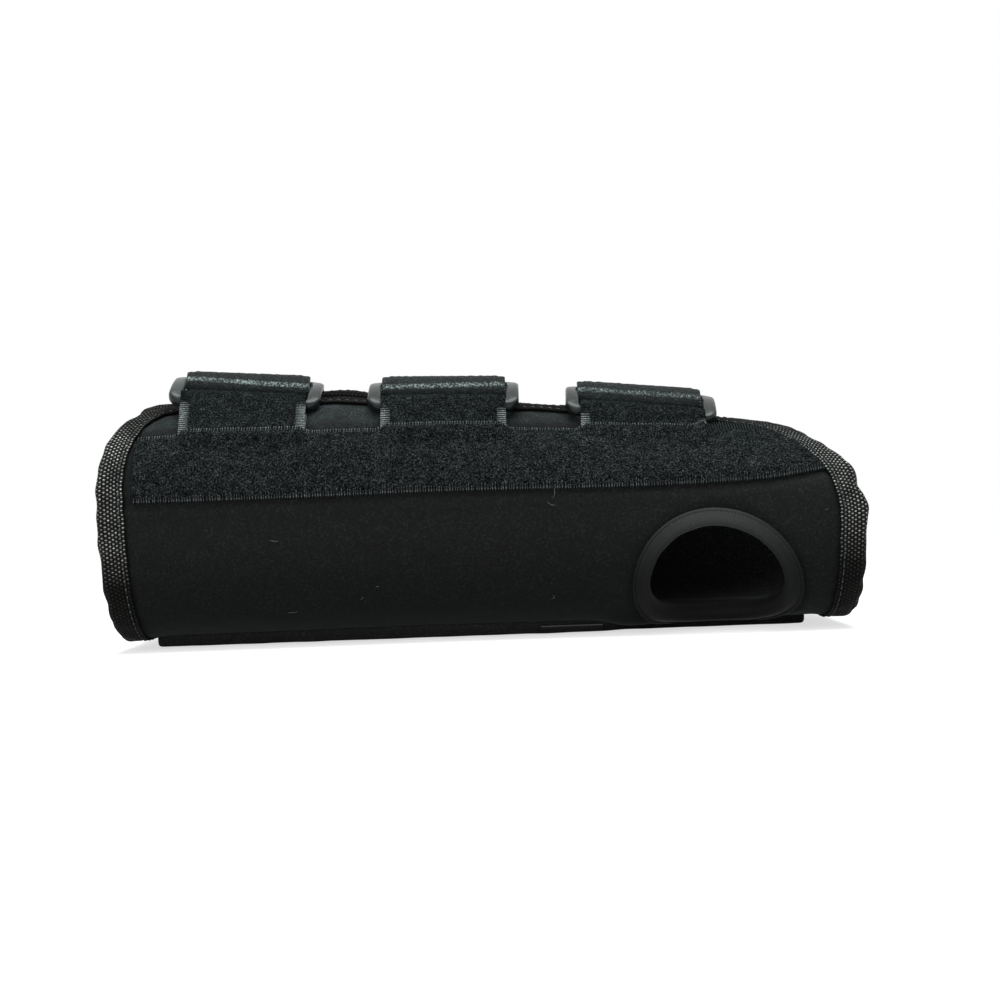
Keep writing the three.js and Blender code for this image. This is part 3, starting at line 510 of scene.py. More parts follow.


# %% [markdown]
# Every cloth's shader sits in the material itself. A sheen lifts the colour where the nap is seen edge on, which is
# part of what makes the upper faces of the splint greyer than its side; on the sleeve's cloth they are also painted
# paler, a painted light.

# %% Material makers
def begin(name, roughness, sheen=0.0, sheen_roughness=0.5, specular=0.06):
    """A material with a Principled shader, whose even values are set on its own sockets."""
    material = bpy.data.materials.new(name)
    material.use_nodes = True
    shader = material.node_tree.nodes["Principled BSDF"]
    for key, value in (("Roughness", roughness), ("Sheen Weight", sheen), ("Sheen Roughness", sheen_roughness),
                       ("Specular IOR Level", specular)):
        shader.inputs[key].default_value = value
    return material, Nodes(material.node_tree), shader


def finish(material, nodes, shader, **values):
    """Link what changes over the surface to the shader."""
    for key, value in values.items():
        nodes.put(shader.inputs[key.replace("_", " ")], value)
    return material


NAP_RELIEF = 0.12
PAINTED_SHADE_HEIGHTS = (0.003, 0.030)  # the height in metres at which the painted shade near the bottom starts to fade, and over how far it fades
PAINTED_LIGHT_HEIGHTS = (0.064, 0.006)  # the height in metres at which painted light in paler clouds begins on the upper flaps, and over how far


def napped_cloth(name, dark, light, size, glints, roughness, sheen, low=1.0):
    """Brushed cloth. With low under 1 it is painted darker near the bottom by that share, a painted shade, and on the
    upper flaps it is painted paler and bluer in mottled clouds, a painted light where the top lamp falls."""
    material, nodes, shader = begin(name, roughness, sheen)
    nap = nodes.effect(NAP, {"Size": size, "Glints": glints})
    if low == 1:
        colour = nodes.between(nap["Mask"], dark, light)
    else:
        place = nodes.place()
        z = nodes.axes(place)[2]
        # Painted shade: towards the bottom the colour and the nap's contrast darken, down to the share low.
        height = z.ramp(*PAINTED_SHADE_HEIGHTS)
        painted_low_shade = nodes.between(height, times(low, dark), dark)
        colour = nodes.between(nap["Mask"] * (height * (1 - low) + low), painted_low_shade, light)
        # Painted light: on the upper flaps the colour turns paler and bluer in mottled clouds, where the top lamp
        # falls.
        painted_light_cloud = ((nodes.noise(place, 260.0, 4.0, 0.7) - 0.28) * 2.2).clamped()
        painted_light_cloud = z.ramp(*PAINTED_LIGHT_HEIGHTS) * painted_light_cloud
        raised = (2.5 * light[0], 3.5 * light[1], 3.5 * light[2])
        colour = nodes.between((painted_light_cloud * (nap["Mask"] * 1.2 + 0.15)).clamped(), colour, raised)
        shader.inputs["Sheen Tint"].default_value = (0.92, 1.0, 1.0, 1)
    return finish(material, nodes, shader, Base_Color=colour, Normal=nodes.relief(nap["Height"], NAP_RELIEF))


def painted_fold_light_and_shade(nodes, mask, along, fold):
    """A highlight painted within 1 mm of a fold, weaker towards the fingers, and painted shade under the fold."""
    line = (1.0 - (along - fold).do("ABSOLUTE")).clamped()
    x = nodes.axes(nodes.place())[0]
    line = line * (2.0 - line) * (1.0 - x.ramp(-0.005, 0.05) * 0.5)
    under = along.ramp(fold - 5.2, 4.0)
    return ((mask * 1.15 + 0.012) * ((line * 2.6 + 0.16) * (under * 0.7 + 0.3))).clamped()


def pile_tape(name, half_width, band, pitch, pile, ribs, size, glints, depth, roughness=0.95, specular=0.0, sheen=0.0,
              bare_fold=0.0, highlight_fold=None):
    """Pile with a ribbed selvedge. The ribs fade within bare_fold mm of the fold at 0. Where a fold is given for the
    strap, a highlight is painted on the pile there, with painted shade under the fold."""
    material, nodes, shader = begin(name, roughness, sheen, 0.5, specular)
    uv = nodes.place("UV")
    nap = nodes.effect(NAP, {"Size": size, "Glints": glints})
    edge = nodes.effect(SELVEDGE, {"UV": uv, "Half Width": half_width, "Band": band, "Pitch": pitch})
    along, across = nodes.axes(uv)[:2]
    mask, shown = nap["Mask"], edge["Band"]
    # Painted highlight and shade at the strap's fold: the pile's pale colour is raised 3.6 times for the highlight.
    if highlight_fold:
        mask, pile = painted_fold_light_and_shade(nodes, mask, along, highlight_fold), (pile[0], times(3.6, pile[1]))
    if bare_fold:
        shown = shown * along.do("ABSOLUTE").ramp(bare_fold - 2.0, 2.0)
    outward = 1.15 - ((half_width - across.do("ABSOLUTE")) / band).clamped() * 0.8
    rib = edge["Height"] ** 2.2 * (nap["Mask"] * 1.6 + 0.30) * outward
    colour = nodes.between(shown, nodes.between(mask, *pile), nodes.between(rib.do("MINIMUM", 1.0), *ribs))
    height = nap["Height"] * (1.0 - edge["Band"] * 0.8) + edge["Height"] * (edge["Band"] * 0.7)
    return finish(material, nodes, shader, Base_Color=colour, Normal=nodes.relief(height, depth))


def painted_tape_glints(nodes):
    """How strongly the end tapes' yarn glints are painted: most half way up the side, patchy, and less above and on the
    flaps; below, a painted shade stands for the light falling off. Heights and places along the arm are in metres here."""
    place = nodes.place()
    x, _, z = nodes.axes(place)
    low = z.ramp(0.020, 0.012)
    high = (z + x * 0.04).ramp(0.058, 0.007)
    end = (x + 0.009).do("ABSOLUTE").ramp(0.086, 0.006)
    uneven = ((nodes.noise(place, 170.0, 3.0) - 0.22) * 2.6).clamped()
    return (low * 0.93 + 0.07) * (1.0 - high * 0.7) * (end * (uneven + 0.25) * 0.8 + 0.2)


def woven_cloth(name, yarns, dark, light, roughness, depth, specular, sheen=0.0, wear_and_glints=False, painted_top_light=1.0):
    """Woven cloth with yarns of two widths. On the end tapes, bright yarn glints are painted in places, and the last
    argument is how many times paler the thumb hole's tape is painted at its top, a painted light from the top lamp."""
    material, nodes, shader = begin(name, roughness, sheen, 0.35, specular)
    weave = nodes.effect(WEAVE, {"UV": nodes.place("UV"), "Along": yarns[0], "Across": yarns[1]})
    nap = nodes.effect(NAP, {"Size": 1.1, "Glints": 0.3})
    mask = (weave["Mask"] * (nap["Mask"] + 0.35)).clamped()
    # Painted glints: patchy, and weaker low down, where a painted shade stands for the light falling off.
    if wear_and_glints:
        mask = mask * painted_tape_glints(nodes)
    colour = nodes.between(mask, dark, light)
    # Painted light: the thumb hole's tape is painted paler towards its top.
    if painted_top_light > 1:
        up = nodes.axes(nodes.place())[2].ramp(0.014, 0.024)
        colour = nodes.between(up * up, colour, nodes.between(mask, times(painted_top_light, dark), times(painted_top_light, light)))
    return finish(material, nodes, shader, Base_Color=colour, Normal=nodes.relief(weave["Height"], depth))


# %% The cloths
STRAP_FOLD = 9.5
RIB_DARK = (0.004, 0.005, 0.005)
# Painted light and shade: low=0.4 paints this cloth darker near the bottom, and its upper flaps are painted paler.
LOOP_CLOTH = napped_cloth("loop_cloth", (0.0085, 0.0083, 0.0084), (0.0285, 0.0282, 0.0287), size=0.7, glints=0.10,
                          roughness=0.95, sheen=0.055, low=0.4)
# Painted light: the pocket is the sleeve's cloth painted about 2.4 times paler, to cancel the shade under the sleeve's
# belly.
POCKET_CLOTH = napped_cloth("pocket_cloth", (0.020, 0.020, 0.020), (0.068, 0.068, 0.069), size=0.7, glints=0.10,
                            roughness=0.95, sheen=0.02)
LINING = napped_cloth("lining_cloth", (0.008, 0.008, 0.009), (0.035, 0.036, 0.038), size=0.9, glints=0.2,
                      roughness=0.9, sheen=0.02)
PILE = pile_tape("pile_ribbon", RIBBON_WIDTH / 2, band=0.8, pitch=0.85, size=0.44, glints=0.12, depth=0.40,
                 pile=((0.0022, 0.0028, 0.0028), (0.122, 0.132, 0.133)), ribs=(RIB_DARK, (0.04, 0.044, 0.045)))
TAB_PILE = pile_tape("tab_ribbon", TAB_WIDTH / 2, band=3.0, pitch=0.70, size=0.44, glints=0.12, depth=0.35,
                     pile=((0.0030, 0.0038, 0.0038), (0.092, 0.102, 0.104)), ribs=(RIB_DARK, (0.42, 0.45, 0.45)),
                     bare_fold=8.6)
# The strap's turn gets a painted highlight at STRAP_FOLD and painted shade under it.
STRAP_CLOTH = pile_tape("strap_webbing", STRAP_WIDTH / 2, band=0.5, pitch=0.9, size=0.62, glints=0.18, depth=0.45,
                        pile=((0.0035, 0.0048, 0.0048), (0.075, 0.088, 0.086)),
                        ribs=((0.02, 0.022, 0.022), (0.13, 0.14, 0.14)), roughness=0.6, specular=0.08, sheen=0.02,
                        highlight_fold=STRAP_FOLD)
# Painted highlights: the woven tape's near-white colour shows only on the yarn crossings, as painted glints.
WOVEN_TAPE = woven_cloth("woven_tape", (0.64, 1.05), (0.0034, 0.0033, 0.0028), (0.90, 0.90, 0.85), roughness=0.7,
                         depth=0.35, specular=0.03, wear_and_glints=True)
# The thumb hole's tape is painted 7.2 times paler at its top, a painted light.
SMOOTH_TAPE = woven_cloth("smooth_tape", (0.35, 2.6), (0.0075, 0.0077, 0.0074), (0.0200, 0.0206, 0.0200),
                          roughness=0.6, depth=0.03, specular=0.05, sheen=0.01, painted_top_light=7.2)
SATIN = woven_cloth("satin", (0.25, 0.25), (0.005, 0.005, 0.005), (0.012, 0.012, 0.012), roughness=0.5, depth=0.02,
                    specular=0.08)
THREAD = woven_cloth("thread", (0.5, 0.5), (0.03, 0.033, 0.033), (0.36, 0.38, 0.38), roughness=0.6, depth=0.02,
                     specular=0.05)
LINT = begin("lint", 0.9, 0.2)[0]
LINT.node_tree.nodes["Principled BSDF"].inputs["Base Color"].default_value = (0.16, 0.165, 0.17, 1)


# %% [markdown]
# ** Moulded plastic and metal.** The rings are glossy mouldings: a fine waviness in the coat and faint scuffs keep
# the reflections from looking like a mirror's, and their upper sides are painted paler, a painted highlight. The stay
# is rolled strip, brushed along its length.

# %% Plastic and metal
def moulded_plastic(name, base, roughness, scuff):
    material, nodes, shader = begin(name, roughness, specular=0.24)
    place = nodes.place()
    wavy, marks = nodes.noise(place, 180.0, 2.0), nodes.noise(place, 900.0, 4.0, 0.7)
    wear_and_glints = ((marks - 0.52) * 5.0).clamped()
    # Painted highlight: above about 76 mm the colour turns paler; the scuffs are real wear.
    top = nodes.axes(place)[2].ramp(0.0755, 0.006)
    return finish(material, nodes, shader, Base_Color=nodes.between(wear_and_glints * 0.3 + top * 0.7, base, times(4.5, base)),
                  Roughness=wear_and_glints * scuff + roughness, Normal=nodes.relief(wavy * 0.8 + marks * 0.2, 0.05))


def brushed_metal(name, base, roughness):
    material, nodes, shader = begin(name, roughness, specular=0.5)
    shader.inputs["Metallic"].default_value = 1.0
    drawn_out = nodes.value("Mapping", "Vector", {"Vector": nodes.place(), "Scale": (40.0, 4000.0, 4000.0)})
    lines = nodes.noise(drawn_out, 1.0, 3.0)
    return finish(material, nodes, shader, Base_Color=nodes.between(lines, times(0.75, base), base),
                  Roughness=lines * 0.25 + (roughness - 0.1), Normal=nodes.relief(lines, 0.02))


RING_PLASTIC = moulded_plastic("ring_plastic", (0.008, 0.011, 0.010), roughness=0.22, scuff=0.25)
HOOK_PLASTIC = moulded_plastic("hook_plastic", (0.014, 0.015, 0.016), roughness=0.45, scuff=0.2)
STAY_METAL = brushed_metal("stay_metal", (0.40, 0.41, 0.43), roughness=0.34)
print("materials:", len(bpy.data.materials))

# %% [markdown]
# ## The laminate
# Cloth, foam and lining are bonded into one 4 mm sheet. Its flat pattern has rounded flap corners, and it is laid
# on the form here as two grids, outside and inside. It is in two pieces that meet under the palm pocket: the little
# finger's half rides on the sleeve, and the thumb's half, with the thumb hole, stands for the flap.

# %% The flat pattern
SEAM = 6.0  # girth of the line under the pocket where the two halves meet
SIDES = {1: ("thumb", radial_edge), -1: ("finger", ulnar_edge)}
HOLE_RADIUS = THUMB_RADIUS - THUMB_TAPE_WIDTH


def corner_inset(end, from_edge, inset):
    """How far a round corner draws an end in: draw (1 - (1 - s^p)^(1/p)), with s from 0 to 1 at the flap's edge."""
    draw = (PROXIMAL_CORNER if end < 0 else DISTAL_CORNER) - 0.8 * inset
    share = np.clip(1 - from_edge / (CORNER_GIRTH - inset), 0, 1)
    return draw * (1 - (1 - share**CORNER_POWER) ** (1 / CORNER_POWER))


def pattern(edge, inset, u, v):
    """(x, girth) of one half of the cut sheet, drawn in by an inset: v runs from the seam to the flap's edge."""
    sign = np.sign(edge(0.0) - SEAM)

    def girth_at(x):
        return SEAM + (edge(x) - SEAM - sign * inset) * v

    def end_at(end):
        nominal = end * LENGTH / 2
        from_edge = np.abs(edge(nominal) - girth_at(nominal)) - inset
        palm = (1 + np.cos(np.pi * girth_at(nominal) / back_girth(nominal))) / 2
        return end * (LENGTH / 2 - inset - corner_inset(end, from_edge, inset) - PALM_PULL_IN * palm**2)

    x = end_at(-1) + (end_at(1) - end_at(-1)) * u
    return x, girth_at(x)


def rows_to(edge, step):
    """Shares of the way from the seam to the edge: even, then closer and closer round the corner."""
    span = abs(edge(0.0) - SEAM)
    even = np.arange(0, span - CORNER_GIRTH, step) / span
    closer = 1 - np.cos(np.linspace(0.5, 0, 50) * np.pi)
    return np.concatenate([even[:-1], 1 - CORNER_GIRTH / span * closer])


# %% [markdown]
# Where a seam holds the foam down, the cloth beside it puffs up. The quilting is a dip along each line of stitches
# and a low swell beside it, with small puckers that die out away from the thread.

# %% Quilting
RIBBON_DIP, TAPE_DIP, HOLE_DIP = (0.45, 1.6), (0.4, 2.0), (0.35, 1.8)  # depth, and reach to each side
STITCH_SPACING, HOLE_TURN = 5.5, 25


def seam_dip(distance, along, depth, reach, seed):
    """-depth at the stitches, a swell beyond them, and puckers across the thread that fade with distance."""
    puckers = 0.35 * depth * waves(along, 0 * along, STITCH_SPACING, seed) * np.exp(-np.abs(distance) / (1.6 * reach))
    return -depth * bell(distance, reach) + 0.45 * depth * bell(np.abs(distance) - 2.2 * reach, reach) + puckers


def quilting(x, girth, hand):
    """The relief of the outer cloth: dips beside both long edges of the pile ribbon and along the tapes."""
    away = hand * girth - (back_girth(x) - ribbon_centre(x))
    lift = seam_dip(np.abs(away) - RIBBON_WIDTH / 2 - 0.3, x, *RIBBON_DIP, 11)
    for end in (-1, 1):
        to_tape = np.abs(x - end * LENGTH / 2) - END_TAPE_WIDTH + 1
        lift = lift + seam_dip(to_tape, girth, *TAPE_DIP, 21 + end)
    if hand > 0:
        dx, dg = x - THUMB_X, girth - THUMB_GIRTH
        lift = lift + seam_dip(np.hypot(dx, dg) - THUMB_RADIUS + 0.5, np.arctan2(dg, dx) * HOLE_TURN, *HOLE_DIP, 31)
    return lift + 0.05 * waves(x, girth, 7, 41)


def laminate_half(hand):
    """Outer grid at the form, inner grid 4 mm inside it. The thumb hole's rim is drawn onto a circle."""
    name, edge = SIDES[hand]
    u, v = np.linspace(0, 1, 221)[:, None], rows_to(edge, 1.05)[None, :]
    x, girth = pattern(edge, TAPE + TAPE_SEAT, u, v)
    keep = None
    if hand > 0:
        reach = HOLE_RADIUS + TAPE + TAPE_SEAT
        dx, dg = x - THUMB_X, girth - THUMB_GIRTH
        away = np.hypot(dx, dg)
        inside = away < reach
        keep = ~(inside[:-1, :-1] & inside[1:, :-1] & inside[:-1, 1:] & inside[1:, 1:])
        grow = np.where(inside, reach / np.maximum(away, 0.01), 1)
        x, girth = THUMB_X + dx * grow, THUMB_GIRTH + dg * grow
    top, bottom = on_form(x, girth, quilting(x, girth, hand)), on_form(x, girth, -LAMINATE)
    return thick_sheet(f"laminate_{name}_half", top, bottom, spread(x, girth), [LOOP_CLOTH, LINING], keep)


thumb_half, finger_half = laminate_half(1), laminate_half(-1)
print("laminate faces:", len(thumb_half.data.polygons), len(finger_half.data.polygons))

# %% [markdown]
# ## Binding tape
# The raw edge of the laminate is wrapped in a woven tape, folded over and sewn through. The tape is one closed
# profile, a flattened U, carried along the edge of the flat pattern and then laid on the form. Its fold puckers
# unevenly along its length.

# %% The tape's path and profile
STITCH_INSET, STITCH_DIP, DIP_REACH = 1.5, 0.22, 0.8  # from the tape's free edge, into the tape, and along it
FOLD_DEPTH, HOLE_FOLD_DEPTH, FOLD_PUCKER, HOLE_PUCKER = 2.3, 2.4, 0.5, 0.16
PUCKER_SIZE, RIPPLE_SIZE, RIPPLE = 8.5, 5.0, 0.10
LOOSE_FOLDS = ((48.5, 0.7), (43.0, -0.9), (36.5, 0.5), (57.0, -0.4))  # heights, and how far the tape stands out
CALM = 0.95  # the share of the tape's unevenness that is taken away where the stay slides past


def half_outline(edge):
    """The edge of one half's pattern, from the palm at the elbow end round the flap to the palm at the finger end."""
    first, last = (np.stack(pattern(edge, 0.0, u, rows_to(edge, 0.6)), -1) for u in (0.0, 1.0))
    xs = np.linspace(first[-1, 0], last[-1, 0], 300)[1:-1]
    return resample(np.concatenate([first, spread(xs, edge(xs)), last[::-1]]), 0.65)


def square_to(path, inward, closed=False, reach=3):
    """Unit directions square to a polyline, taken over a few steps so that they turn smoothly."""
    if closed:
        change = np.roll(path, -reach, 0) - np.roll(path, reach, 0)
    else:
        longer = np.concatenate([path[:1] * 2 - path[reach:0:-1], path, path[-1:] * 2 - path[-2:-2 - reach:-1]])
        change = longer[2 * reach:] - longer[:-2 * reach]
    direction = unit(change)
    return spread(-direction[:, 1], direction[:, 0]) * inward


def tape_profile(fold, side_steps):
    """The middle of the folded tape, from one free edge to the other: inset, lift, their normal, and 1 at the fold."""
    leg, angle = np.linspace(1, 0, side_steps, endpoint=False), np.linspace(0, np.pi, 12)
    flat = fold + (END_TAPE_WIDTH - fold) * leg
    inset = np.concatenate([flat, fold - fold * np.sin(angle), flat[::-1]])
    half = LAMINATE / 2 + TAPE_SEAT + TAPE / 2
    lift = half * np.concatenate([1 + 0 * leg, np.cos(angle), 0 * leg - 1]) - LAMINATE / 2
    normal = np.concatenate([[[0, 1]] * side_steps, spread(-np.sin(angle), np.cos(angle)), [[0, -1]] * side_steps])
    return inset, lift, normal, np.concatenate([0 * leg, np.sin(angle), 0 * leg])


def fold_bumps(x, girth):
    """Where the finger-end tape stands loose: out, in and out again below the knuckles."""
    return sum(push * bell(girth - girth_at_height(112.0, z), 2.3) for z, push in LOOSE_FOLDS) * (x > 60)


def over_stay(girth):
    """1 in the middle of the palm, where the stay slides past, and 0 from 20 mm of girth on."""
    return 1 - smooth((np.abs(girth + 3) - 12) / 6)


def binding(name, path, run, width, fold, inward, material, pucker, seed, closed=False):
    """The profile laid square to the path, with thickness to both sides. An open tape has waves along its fold and
    its free edges, which a closed one, of smooth stretch tape, has not: it has a groove and a raised lip."""
    square = square_to(path, inward, closed)
    width = np.broadcast_to(width, (len(path),))[:, None]
    inset, lift, normal, bend = tape_profile(fold, 16 if closed else 9)
    legs = (inset - fold).clip(0) / (END_TAPE_WIDTH - fold)
    inset = np.where(inset > fold, fold + legs * (width - fold), inset)
    stitch = bell(legs * (width - fold) + fold - (width - STITCH_INSET), DIP_REACH) * (legs > 0)
    s, across = run[:, None], np.arange(len(lift))[None] * 0.8
    uneven, ripple = waves(s, across, PUCKER_SIZE, seed), waves(s, across * 0.4, RIPPLE_SIZE, seed + 1)
    puckers = pucker * 0.7 * (0.6 + 0.9 * uneven)
    relief = -STITCH_DIP * stitch
    if closed:
        relief = relief + 0.12 * (legs > 0.8) - 0.38 * bell(legs - 0.70, 0.08)
        inset = inset - bend * puckers
    else:
        loose = RIPPLE * ripple + pucker * 0.3 * uneven
        calmed = CALM * (STITCH_DIP * stitch - loose - 0.05) * over_stay(path[:, 1:])
        relief = relief + loose * (1 - 0.5 * stitch) + calmed
        inset = inset - bend * (puckers + fold_bumps(path[:, :1], path[:, 1:])) + legs * 0.25 * ripple
    lift = lift + np.where(lift > -LAMINATE / 2, 1.0, -1.0) * relief
    faces = [(inset + half * normal[:, 0], lift + half * normal[:, 1]) for half in (TAPE / 2, -TAPE / 2)]
    a, b = (np.concatenate([outer, inner[:, ::-1]], 1) for outer, inner in zip(*faces))
    rings = on_form(path[:, :1] + square[:, :1] * a, path[:, 1:] + square[:, 1:] * a, b)
    pitch = run_along(spread(inset[0], lift[0]))
    return tube(name, rings, spread(s, np.concatenate([pitch, pitch[::-1]])[None]), material, closed)


def tape_width(path):
    """8 mm on the ends and 6 mm along a flap's edge, changing just past the corners."""
    ends = [end * path[:, 0] - LENGTH / 2 + corner + 8 for end, corner in ((-1, PROXIMAL_CORNER), (1, DISTAL_CORNER))]
    return EDGE_TAPE_WIDTH + (END_TAPE_WIDTH - EDGE_TAPE_WIDTH) * smooth(np.maximum(*ends) / 8)


halves = {}
for hand, (name, edge) in SIDES.items():
    path, run = half_outline(edge)
    tape = binding(f"binding_{name}_half", path, run, tape_width(path), FOLD_DEPTH, -hand, WOVEN_TAPE, FOLD_PUCKER,
                   50 + hand)
    halves[hand] = path, run, tape
    print(tape.name, "is", round(float(run[-1])), "mm long,", len(tape.data.polygons), "faces")

angle = np.linspace(0, 2 * np.pi, 241)[:-1]
hole_path = np.array([THUMB_X, THUMB_GIRTH]) + HOLE_RADIUS * spread(np.cos(angle), np.sin(angle))
hole_tape = binding("thumb_hole_tape", hole_path, angle * HOLE_RADIUS, THUMB_TAPE_WIDTH, HOLE_FOLD_DEPTH, -1,
                    SMOOTH_TAPE, HOLE_PUCKER, 70, closed=True)

# %% [markdown]
# ## Pile ribbons
# A ribbon of dense loops is sewn along each side. Its long edges are thinner than its middle, where the loops
# stand. Over the roots of the ring tabs it rides up, because both layers of each tab are caught under it.

# %% The ribbons along both sides
SELVEDGE_THICKNESS, SELVEDGE_WIDTH, RIBBON_ROUNDING = 0.45, 1.1, 0.4
TAB_RISE, STRAP_RISE = 2.2, 0.9 * 2.2


def tab_bulge(x, across, hand):
    """How far a ribbon is lifted by the tab roots, or a little less by the strap roots, under its upper edge."""
    lift = sum(smooth((TAB_WIDTH / 2 + 2 - np.abs(x - centre)) / 4) for centre in STRAP_X)
    return (TAB_RISE if hand > 0 else STRAP_RISE) * lift * smooth((across - RIBBON_WIDTH / 2 + 7) / 5)


def across_ribbon(row, x, hand):
    """Distance from the ribbon's centre line, for rows from -1 to 1. Near the fingers it fills the flap's corner."""
    room = (ribbon_centre(x) - RIBBON_WIDTH / 2 - RADIAL_EDGE - EDGE_TAPE_WIDTH - 0.8).clip(0, 8)
    wider = room * smooth((x - 64) / 10) * (hand > 0)
    return -RIBBON_WIDTH / 2 + (row + 1) / 2 * (RIBBON_WIDTH + wider)


def ribbon_girth(x, across, hand):
    return hand * (back_girth(x) - ribbon_centre(x) + across)


def ribbon_ends(row, hand):
    """Where rows start and stop: each end moves half way to the tape's outline, time after time, till it is there."""
    edge, ends = SIDES[hand][1], []
    for u in (0.0, 1.0):
        x = (u - 0.5) * LENGTH + 0 * row
        for _ in range(30):
            whole = edge(x) - SEAM - hand * RIBBON_INSET
            share = np.minimum((ribbon_girth(x, across_ribbon(row, x, hand), hand) - SEAM) / whole, 1)
            x = (x + pattern(edge, RIBBON_INSET, u, share)[0]) / 2
        ends.append(x)
    return np.maximum(ends[0], -LENGTH / 2 + RIBBON_START), ends[1]


def ribbon(hand):
    """Rows across, columns along; pile height 1.2 mm that falls to less than half that in the selvedges."""
    row = np.concatenate([[-1, -0.993, -0.975], np.linspace(-0.95, 0.95, 49), [0.975, 0.993, 1]])[None, :]
    t = np.concatenate([[0, 0.001, 0.003], np.linspace(0.006, 0.994, 400), [0.997, 0.999, 1]])[:, None]
    first, last = ribbon_ends(row, hand)
    x = first + (last - first) * t
    across = across_ribbon(row, x, hand)
    to_edge = np.minimum(across + RIBBON_WIDTH / 2, across_ribbon(1.0, x, hand) - across)
    to_end = np.minimum(x - first, last - x)
    pile = smooth(to_edge - SELVEDGE_WIDTH)
    height = SELVEDGE_THICKNESS + (RIBBON_THICKNESS - SELVEDGE_THICKNESS) * pile * smooth(to_end / 0.8 + 0.3)
    loops = (0.16 * waves(x, across, 1.9, 81, 14) + 0.10 * waves(x, across, 3.7, 82)) * pile
    stand = (height + loops) * (0.25 + 0.75 * rounded(np.minimum(to_edge, to_end), RIBBON_ROUNDING))
    rise, girth = tab_bulge(x, across, hand), ribbon_girth(x, across, hand)
    top, bottom = on_form(x, girth, CLOTH_GAP + rise + stand), on_form(x, girth, CLOTH_GAP / 2 + rise)
    return thick_sheet(f"pile_ribbon_{SIDES[hand][0]}_side", top, bottom, spread(x, across), [PILE])


thumb_ribbon, finger_ribbon = ribbon(1), ribbon(-1)
print("ribbon faces:", len(thumb_ribbon.data.polygons), len(finger_ribbon.data.polygons))

# %% [markdown]
# ## Stitches
# Thread is what makes sewn goods look sewn. Each stitch is a short tube of five sides that dips into the cloth at
# both ends. All stitches of one seam are worked out as one array: stitch, ring, side.

# %% The stitch maker
STITCH_SIDES, STITCH_PITCH, STITCH_LENGTH, STITCH_RADIUS, STITCH_SINK = 5, 2.6, 2.0, 0.2, 0.35
STRAND_PITCH, STRAND_START, STRAND_RADIUS, STRAND_HEIGHT = 0.8, 0.6, 0.21, 0.42
FIBRE_RADIUS, FIBRE_LIFT = 0.055, 0.45
STITCH_RINGS = np.array([-1, -0.93, -0.6, 0, 0.6, 0.93, 1.0])
STITCH_TAPER, STRAND_TAPER = np.array([0.3, 0.8, 1, 1.05, 1, 0.8, 0.3]), np.array([0.35, 0.8, 1, 1.05, 1, 0.8, 0.3])


def around(spine, side, up, thick, sides):
    """Rings of points round a spine, in the plane of two directions."""
    cosine, sine = circle(sides)
    ring = side[..., None, :] * cosine + up[..., None, :] * sine
    return spine[..., None, :] + ring * np.asarray(thick)[..., None, None]


def form_line(x, girth, lift):
    """Points on the form with its normals there."""
    path = on_form(x, girth, lift)
    return path, on_form(x, girth, lift + 1.0) - path


def stitch_points(path, normal):
    """Points[stitch, ring, side] of tubes along a 3-D polyline: lift falls at both ends as the fourth power."""
    run = run_along(path)
    count = int(run[-1] / STITCH_PITCH)
    at = (np.arange(count)[:, None] + 0.5) * run[-1] / count + STITCH_RINGS * STITCH_LENGTH / 2

    def sample(values, where):
        return np.stack([np.interp(where, run, values[:, k]) for k in range(3)], -1)

    up = unit(sample(normal, at))
    side = np.cross(unit(sample(path, at + 0.2) - sample(path, at - 0.2)), up)
    spine = sample(path, at) + up * (STITCH_RADIUS * 0.75 - STITCH_SINK * STITCH_RINGS[:, None] ** 4)
    return around(spine, side, up, STITCH_RADIUS * STITCH_TAPER, STITCH_SIDES)


def stitches(name, rows, material):
    """One mesh from many rows of stitches."""
    points = np.concatenate(rows)
    uv = spread(np.linspace(0, 2, len(STITCH_RINGS))[:, None], np.arange(STITCH_SIDES) * 0.25)
    return many_tubes(name, points, np.broadcast_to(uv, points.shape[:3] + (2,)), material)


# %% Stitches of tapes and ribbons
def tape_stitches(path, width, inward, lift, closed=False):
    line = path + square_to(path, inward, closed) * (np.broadcast_to(width, (len(path),))[:, None] - STITCH_INSET)
    if closed:
        line = np.concatenate([line, line[:1]])
    calmed = STITCH_DIP * np.sign(lift) * over_stay(line[:, 1])
    return stitch_points(*form_line(line[:, 0], line[:, 1], lift - calmed))


def comb(hand, side):
    """One short strand about each 0.8 mm, across the ribbon's edge, and no two quite alike."""
    first, last = (float(end[0]) for end in ribbon_ends(np.array([float(side)]), hand))
    at = np.arange(first + STRAND_START, last - STRAND_START, STRAND_PITCH)
    uneven = np.random.default_rng(60 + side)
    at = at + uneven.uniform(-0.16, 0.16, len(at))
    span = np.linspace(-2.0, 0.35, 9)[:, None] * side * uneven.uniform(0.55, 1.15, len(at))
    across = across_ribbon(side, at, hand) + span
    pile = smooth(-side * span - SELVEDGE_WIDTH)
    lift = CLOTH_GAP + tab_bulge(at, across, hand) + STRAND_HEIGHT + 0.75 * pile
    lift = lift - STRAND_HEIGHT * smooth((side * span + 0.1) / 0.4)
    lines = form_line(at, ribbon_girth(at, across, hand), lift)
    spine, up = (line.transpose(1, 0, 2)[:, [0, 1, 3, 4, 6, 7, 8]] for line in lines)
    thick = STRAND_TAPER * (STRAND_RADIUS * uneven.uniform(0.4, 1.2, (len(at), 1)))
    thick = thick * (1 - 0.35 * smooth((at - 42) / 8) * (side < 0))[:, None]
    return around(spine + up * 0.1, np.array([1.0, 0, 0]), up, thick, STITCH_SIDES)


